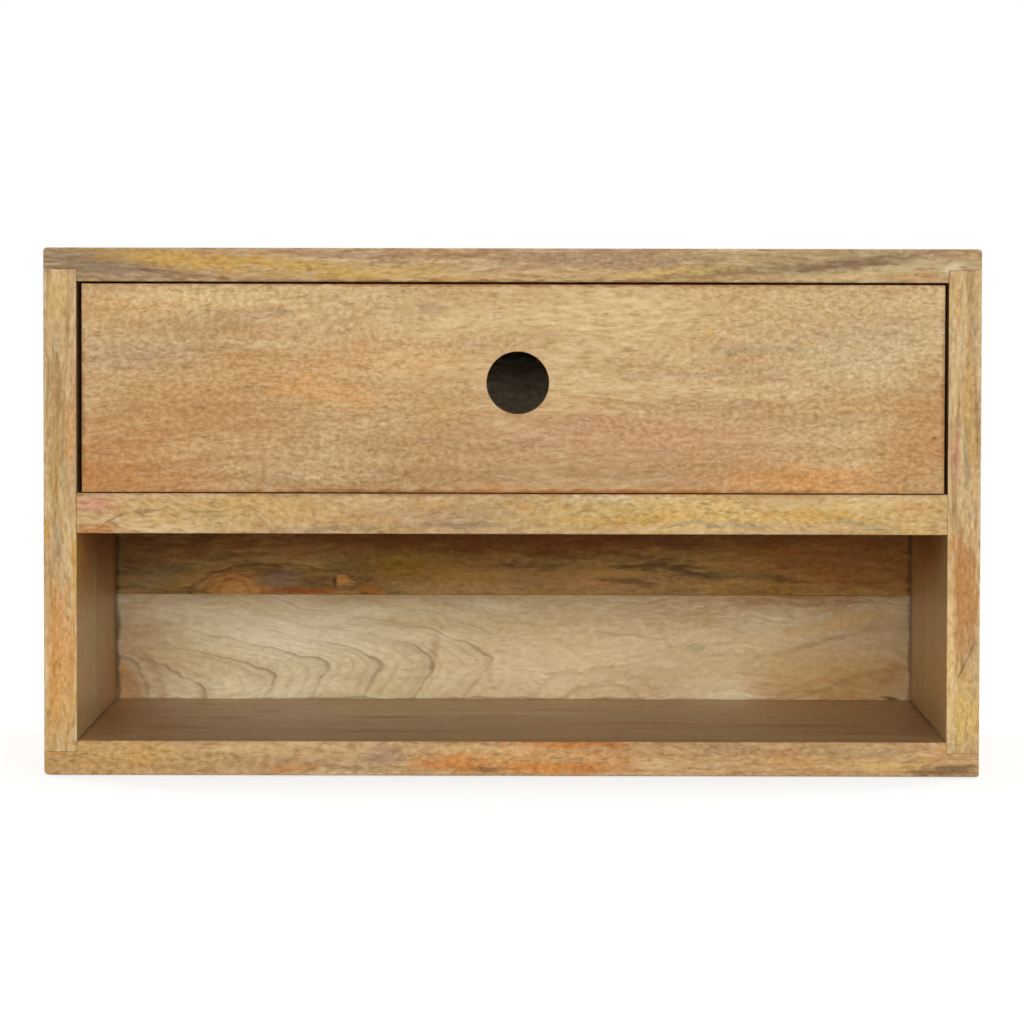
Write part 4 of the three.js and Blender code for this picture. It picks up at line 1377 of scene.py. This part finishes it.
DRAWER_BACK = replace(
    DRAWER_INSIDE, along="X", pale=srgb(224, 206, 172), tan=srgb(210, 188, 152), ash=srgb(188, 170, 142),
    vein_dark=srgb(188, 166, 132), vein_light=srgb(228, 210, 178), seed=14)
# Painted shade: a dark patch on the drawer's back, which makes the inside look dark through the finger hole
DRAWER_BACK_PAINTED_SHADE = (Mark(0.51, 0.76, 46, 36, BARK, 0.85, soft_share=0.93, fray=0.3),)


class NIGHTSTAND_OT_drawer_front(bpy.types.Operator):
    """Builds the drawer's front with its finger hole"""
    bl_idname = "nightstand.drawer_front"
    bl_label = "Drawer Front"

    def execute(self, context):
        edges = context.scene.nightstand_edges
        low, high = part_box("drawer_front")
        middle = (low + high) / 2
        hole_x = middle.x + FINGER_HOLE_ASIDE
        hole_z = middle.z + FINGER_HOLE_ABOVE
        hole = rod(FINGER_HOLE_RADIUS, high.y - low.y + 2 * OVERRUN)
        low_x, high_x, back_y = low.x - OVERRUN, high.x + OVERRUN, high.y + OVERRUN
        low_z, high_z = low.z - OVERRUN, high.z + OVERRUN
        side_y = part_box("drawer_side_left")[0].y - JOINT_GAP
        left_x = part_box("drawer_side_left")[1].x + JOINT_GAP
        right_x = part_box("drawer_side_right")[0].x - JOINT_GAP
        shapes = [
            block((low_x, side_y, low_z), (left_x, back_y, high_z)),
            block((right_x, side_y, low_z), (high_x, back_y, high_z)),
            bottom_groove(low_x, high_x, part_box("drawer_bottom")[0].y - GROOVE_PLAY, back_y),
            turned(hole, FINGER_HOLE_STEPS, (hole_x, back_y, hole_z), TOWARDS_FRONT),
            *bores_in(low, high),
        ]

        def width_of(edge):
            centre = (edge.verts[0].co + edge.verts[1].co) / 2
            if math.hypot(centre.x - hole_x, centre.z - hole_z) < FINGER_HOLE_RADIUS + HOLE_TOLERANCE:
                return edges.finger_hole if lies(edge, "Y", low.y, high.y) else 0
            return edges.eased if lies(edge, "Y", low.y) else edges.seam

        build_board("drawer_front", "drawer", "drawer_wood", DRAWER, DRAWER_MARKS, shapes, width_of)
        return {"FINISHED"}


class NIGHTSTAND_OT_drawer_box(bpy.types.Operator):
    """Builds the sides, back and bottom of the drawer"""
    bl_idname = "nightstand.drawer_box"
    bl_label = "Drawer Box"

    def execute(self, context):
        bottom_low, bottom_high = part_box("drawer_bottom")
        for node, seed in (("drawer_side_left", 12), ("drawer_side_right", 13)):
            low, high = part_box(node)
            groove_low = max(low.x - OVERRUN, bottom_low.x - GROOVE_PLAY)
            groove_high = min(high.x + OVERRUN, bottom_high.x + GROOVE_PLAY)
            groove = bottom_groove(groove_low, groove_high, low.y - OVERRUN, high.y + OVERRUN)

            def width_of(edge):
                return context.scene.nightstand_edges.eased if lies(edge, "Z", high.z) else seam_width(edge)

            look = replace(DRAWER_INSIDE, seed=seed)
            build_board(node, "drawer", "drawer_wood", look, (), [groove, *bores_in(low, high)], width_of)
        build_board("drawer_back", "drawer", "drawer_wood", DRAWER_BACK, DRAWER_BACK_PAINTED_SHADE,
                    bores_in(*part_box("drawer_back")), seam_width)
        build_board("drawer_bottom", "drawer", "back_wood_pale", replace(DRAWER_INSIDE, along="X", seed=15),
                    (), bores_in(bottom_low, bottom_high), seam_width)
        return {"FINISHED"}


class NIGHTSTAND_OT_pins(bpy.types.Operator):
    """Builds the panel pins that hold the drawer together"""
    bl_idname = "nightstand.pins"
    bl_label = "Panel Pins"

    def execute(self, context):
        material = zinc_steel("pin_zinc")
        for node in PINS:
            start, direction, length = pin_axis(node)
            profile = [
                (0, 0),
                (PIN_HEAD_RADIUS - PIN_RIM, 0),
                (PIN_HEAD_RADIUS, PIN_RIM),
                (PIN_HEAD_RADIUS, PIN_HEAD_THICKNESS - PIN_RIM),
                (PIN_SHANK_RADIUS, PIN_HEAD_THICKNESS),
                (PIN_SHANK_RADIUS, length - PIN_POINT),
                (0, length),
            ]
            piece = made(node + "_zinc", turned(profile, ROUND_STEPS // 2, start, direction))
            dress(piece, "drawer", "zinc_steel", material, node)
        return {"FINISHED"}


# Studio

FLOOR_REACH = 6
FLOOR_GAP = 0.5 * MM
FLOOR_GLOW = 0.71
FLOOR_FADE = (0.4, 1.6)
CAMERA_SIGHT = 50


def softbox(name, place, aim, size, power, mirrored=True):
    """A lamp with an even face. One that isn't mirrored lights the wood without a glare on it."""
    lamp = bpy.data.lights.new(name, "AREA")
    lamp.shape = "RECTANGLE"
    lamp.size, lamp.size_y = size
    lamp.energy = power
    light = linked(name, lamp)
    light.location = place
    light.rotation_euler = (Vector(aim) - Vector(place)).to_track_quat("-Z", "Y").to_euler()
    light.visible_glossy = mirrored


def seen_directly(tree):
    """1 for rays that see a surface as a picture: from the camera, in a mirror or through glass."""
    path = tree.node("LightPath", {}, {})
    kinds = ("Is Camera Ray", "Is Glossy Ray", "Is Transmission Ray")
    camera, mirror, glass = [tree.out(path, kind) for kind in kinds]
    return tree.math("MINIMUM", camera + mirror + glass, 1)


def surround(tree, world):
    """Strength of the white surround: full where it is seen, and less as light on the object."""
    return seen_directly(tree) * (1 - world) + world


class NIGHTSTAND_OT_studio(bpy.types.Operator):
    """Sets up the pale floor, the soft light and the camera"""
    bl_idname = "nightstand.studio"
    bl_label = "Studio"

    def execute(self, context):
        studio = context.scene.nightstand_studio
        context.scene.view_settings.view_transform = "Standard"

        shape = bmesh.new()
        bmesh.ops.create_grid(shape, x_segments=1, y_segments=1, size=FLOOR_REACH)
        bmesh.ops.translate(shape, vec=(0, 0, cabinet_low.z - FLOOR_GAP), verts=shape.verts)
        floor = made("floor", shape)
        tree = Tree(bpy.data.materials.new("pale_floor"))
        matt = tree.node("BsdfDiffuse", {}, {"Color": (*studio.floor_tone, 1)})
        glow = tree.node("Emission", {}, {"Strength": seen_directly(tree) * FLOOR_GLOW})
        near = tree.node("AddShader", {}, {0: tree.out(matt), 1: tree.out(glow)})
        white = tree.node("Emission", {}, {"Strength": surround(tree, studio.world)})
        far = tree.step(tree.length(tree.coordinates()), *FLOOR_FADE)
        mixed = tree.node("MixShader", {}, {0: far, 1: tree.out(near), 2: tree.out(white)})
        floor.data.materials.append(tree.finish(mixed))

        context.scene.world = bpy.data.worlds.new("white surround")
        tree = Tree(context.scene.world)
        sockets = {"Color": (1, 1, 1, 1), "Strength": surround(tree, studio.world)}
        tree.node("OutputWorld", {}, {"Surface": tree.out(tree.node("Background", {}, sockets))})

        softbox("softbox_front", place=(0.25, -3.2, 0.48), aim=(0, FRONT_Y, 0), size=(2.4, 0.8),
                power=studio.key_power, mirrored=False)
        softbox("softbox_top", place=(0, 0.15, 2.2), aim=(0, -0.1, 0), size=(1.6, 1.2),
                power=studio.top_power)
        for side in (-1, 1):
            softbox("softbox_side", place=(side * 2.4, -0.05, 0.6), aim=(0, -0.05, 0), size=(1, 1),
                    power=studio.side_power, mirrored=False)
            softbox("softbox_back", place=(side * 1.9, 1.6, 0.9), aim=(0, -0.1, 0), size=(1.2, 1.2),
                    power=studio.back_power)

        camera = linked("camera", bpy.data.cameras.new("camera"))
        camera.data.lens = studio.lens
        camera.data.clip_end = CAMERA_SIGHT
        turn = (
            Matrix.Rotation(studio.camera_yaw, 4, "Z")
            @ Matrix.Rotation(math.pi / 2 - studio.camera_pitch, 4, "X")
            @ Matrix.Rotation(studio.camera_roll, 4, "Z")
        )
        camera.matrix_world = Matrix.Translation(Vector(studio.camera_place)) @ turn
        context.scene.camera = camera
        return {"FINISHED"}


OPERATORS = (
    NIGHTSTAND_OT_top,
    NIGHTSTAND_OT_bottom,
    NIGHTSTAND_OT_sides,
    NIGHTSTAND_OT_shelf,
    NIGHTSTAND_OT_back,
    NIGHTSTAND_OT_screws,
    NIGHTSTAND_OT_hangers,
    NIGHTSTAND_OT_dowels,
    NIGHTSTAND_OT_drawer_front,
    NIGHTSTAND_OT_drawer_box,
    NIGHTSTAND_OT_pins,
    NIGHTSTAND_OT_studio,
)

SETTINGS = {
    "nightstand_edges": NightstandEdges,
    "nightstand_wood": NightstandWood,
    "nightstand_steel": NightstandSteel,
    "nightstand_studio": NightstandStudio,
}


class NIGHTSTAND_PT_sidebar(bpy.types.Panel):
    bl_idname = "NIGHTSTAND_PT_sidebar"
    bl_label = "Nightstand"
    bl_space_type = "VIEW_3D"
    bl_region_type = "UI"
    bl_category = "Nightstand"

    def draw(self, context):
        for name, group in SETTINGS.items():
            box = self.layout.box()
            for prop in group.__annotations__:
                box.prop(getattr(context.scene, name), prop)
        for operator in OPERATORS:
            self.layout.operator(operator.bl_idname)


def register():
    for group in SETTINGS.values():
        bpy.utils.register_class(group)
    for name, group in SETTINGS.items():
        setattr(bpy.types.Scene, name, PointerProperty(type=group))
    for operator in OPERATORS:
        bpy.utils.register_class(operator)
    bpy.utils.register_class(NIGHTSTAND_PT_sidebar)


def unregister():
    bpy.utils.unregister_class(NIGHTSTAND_PT_sidebar)
    for operator in reversed(OPERATORS):
        bpy.utils.unregister_class(operator)
    for name, group in SETTINGS.items():
        delattr(bpy.types.Scene, name)
        bpy.utils.unregister_class(group)


def main():
    register()
    for operator in OPERATORS:
        group, name = operator.bl_idname.split(".")
        getattr(getattr(bpy.ops, group), name)()


if __name__ == "__main__":
    main()
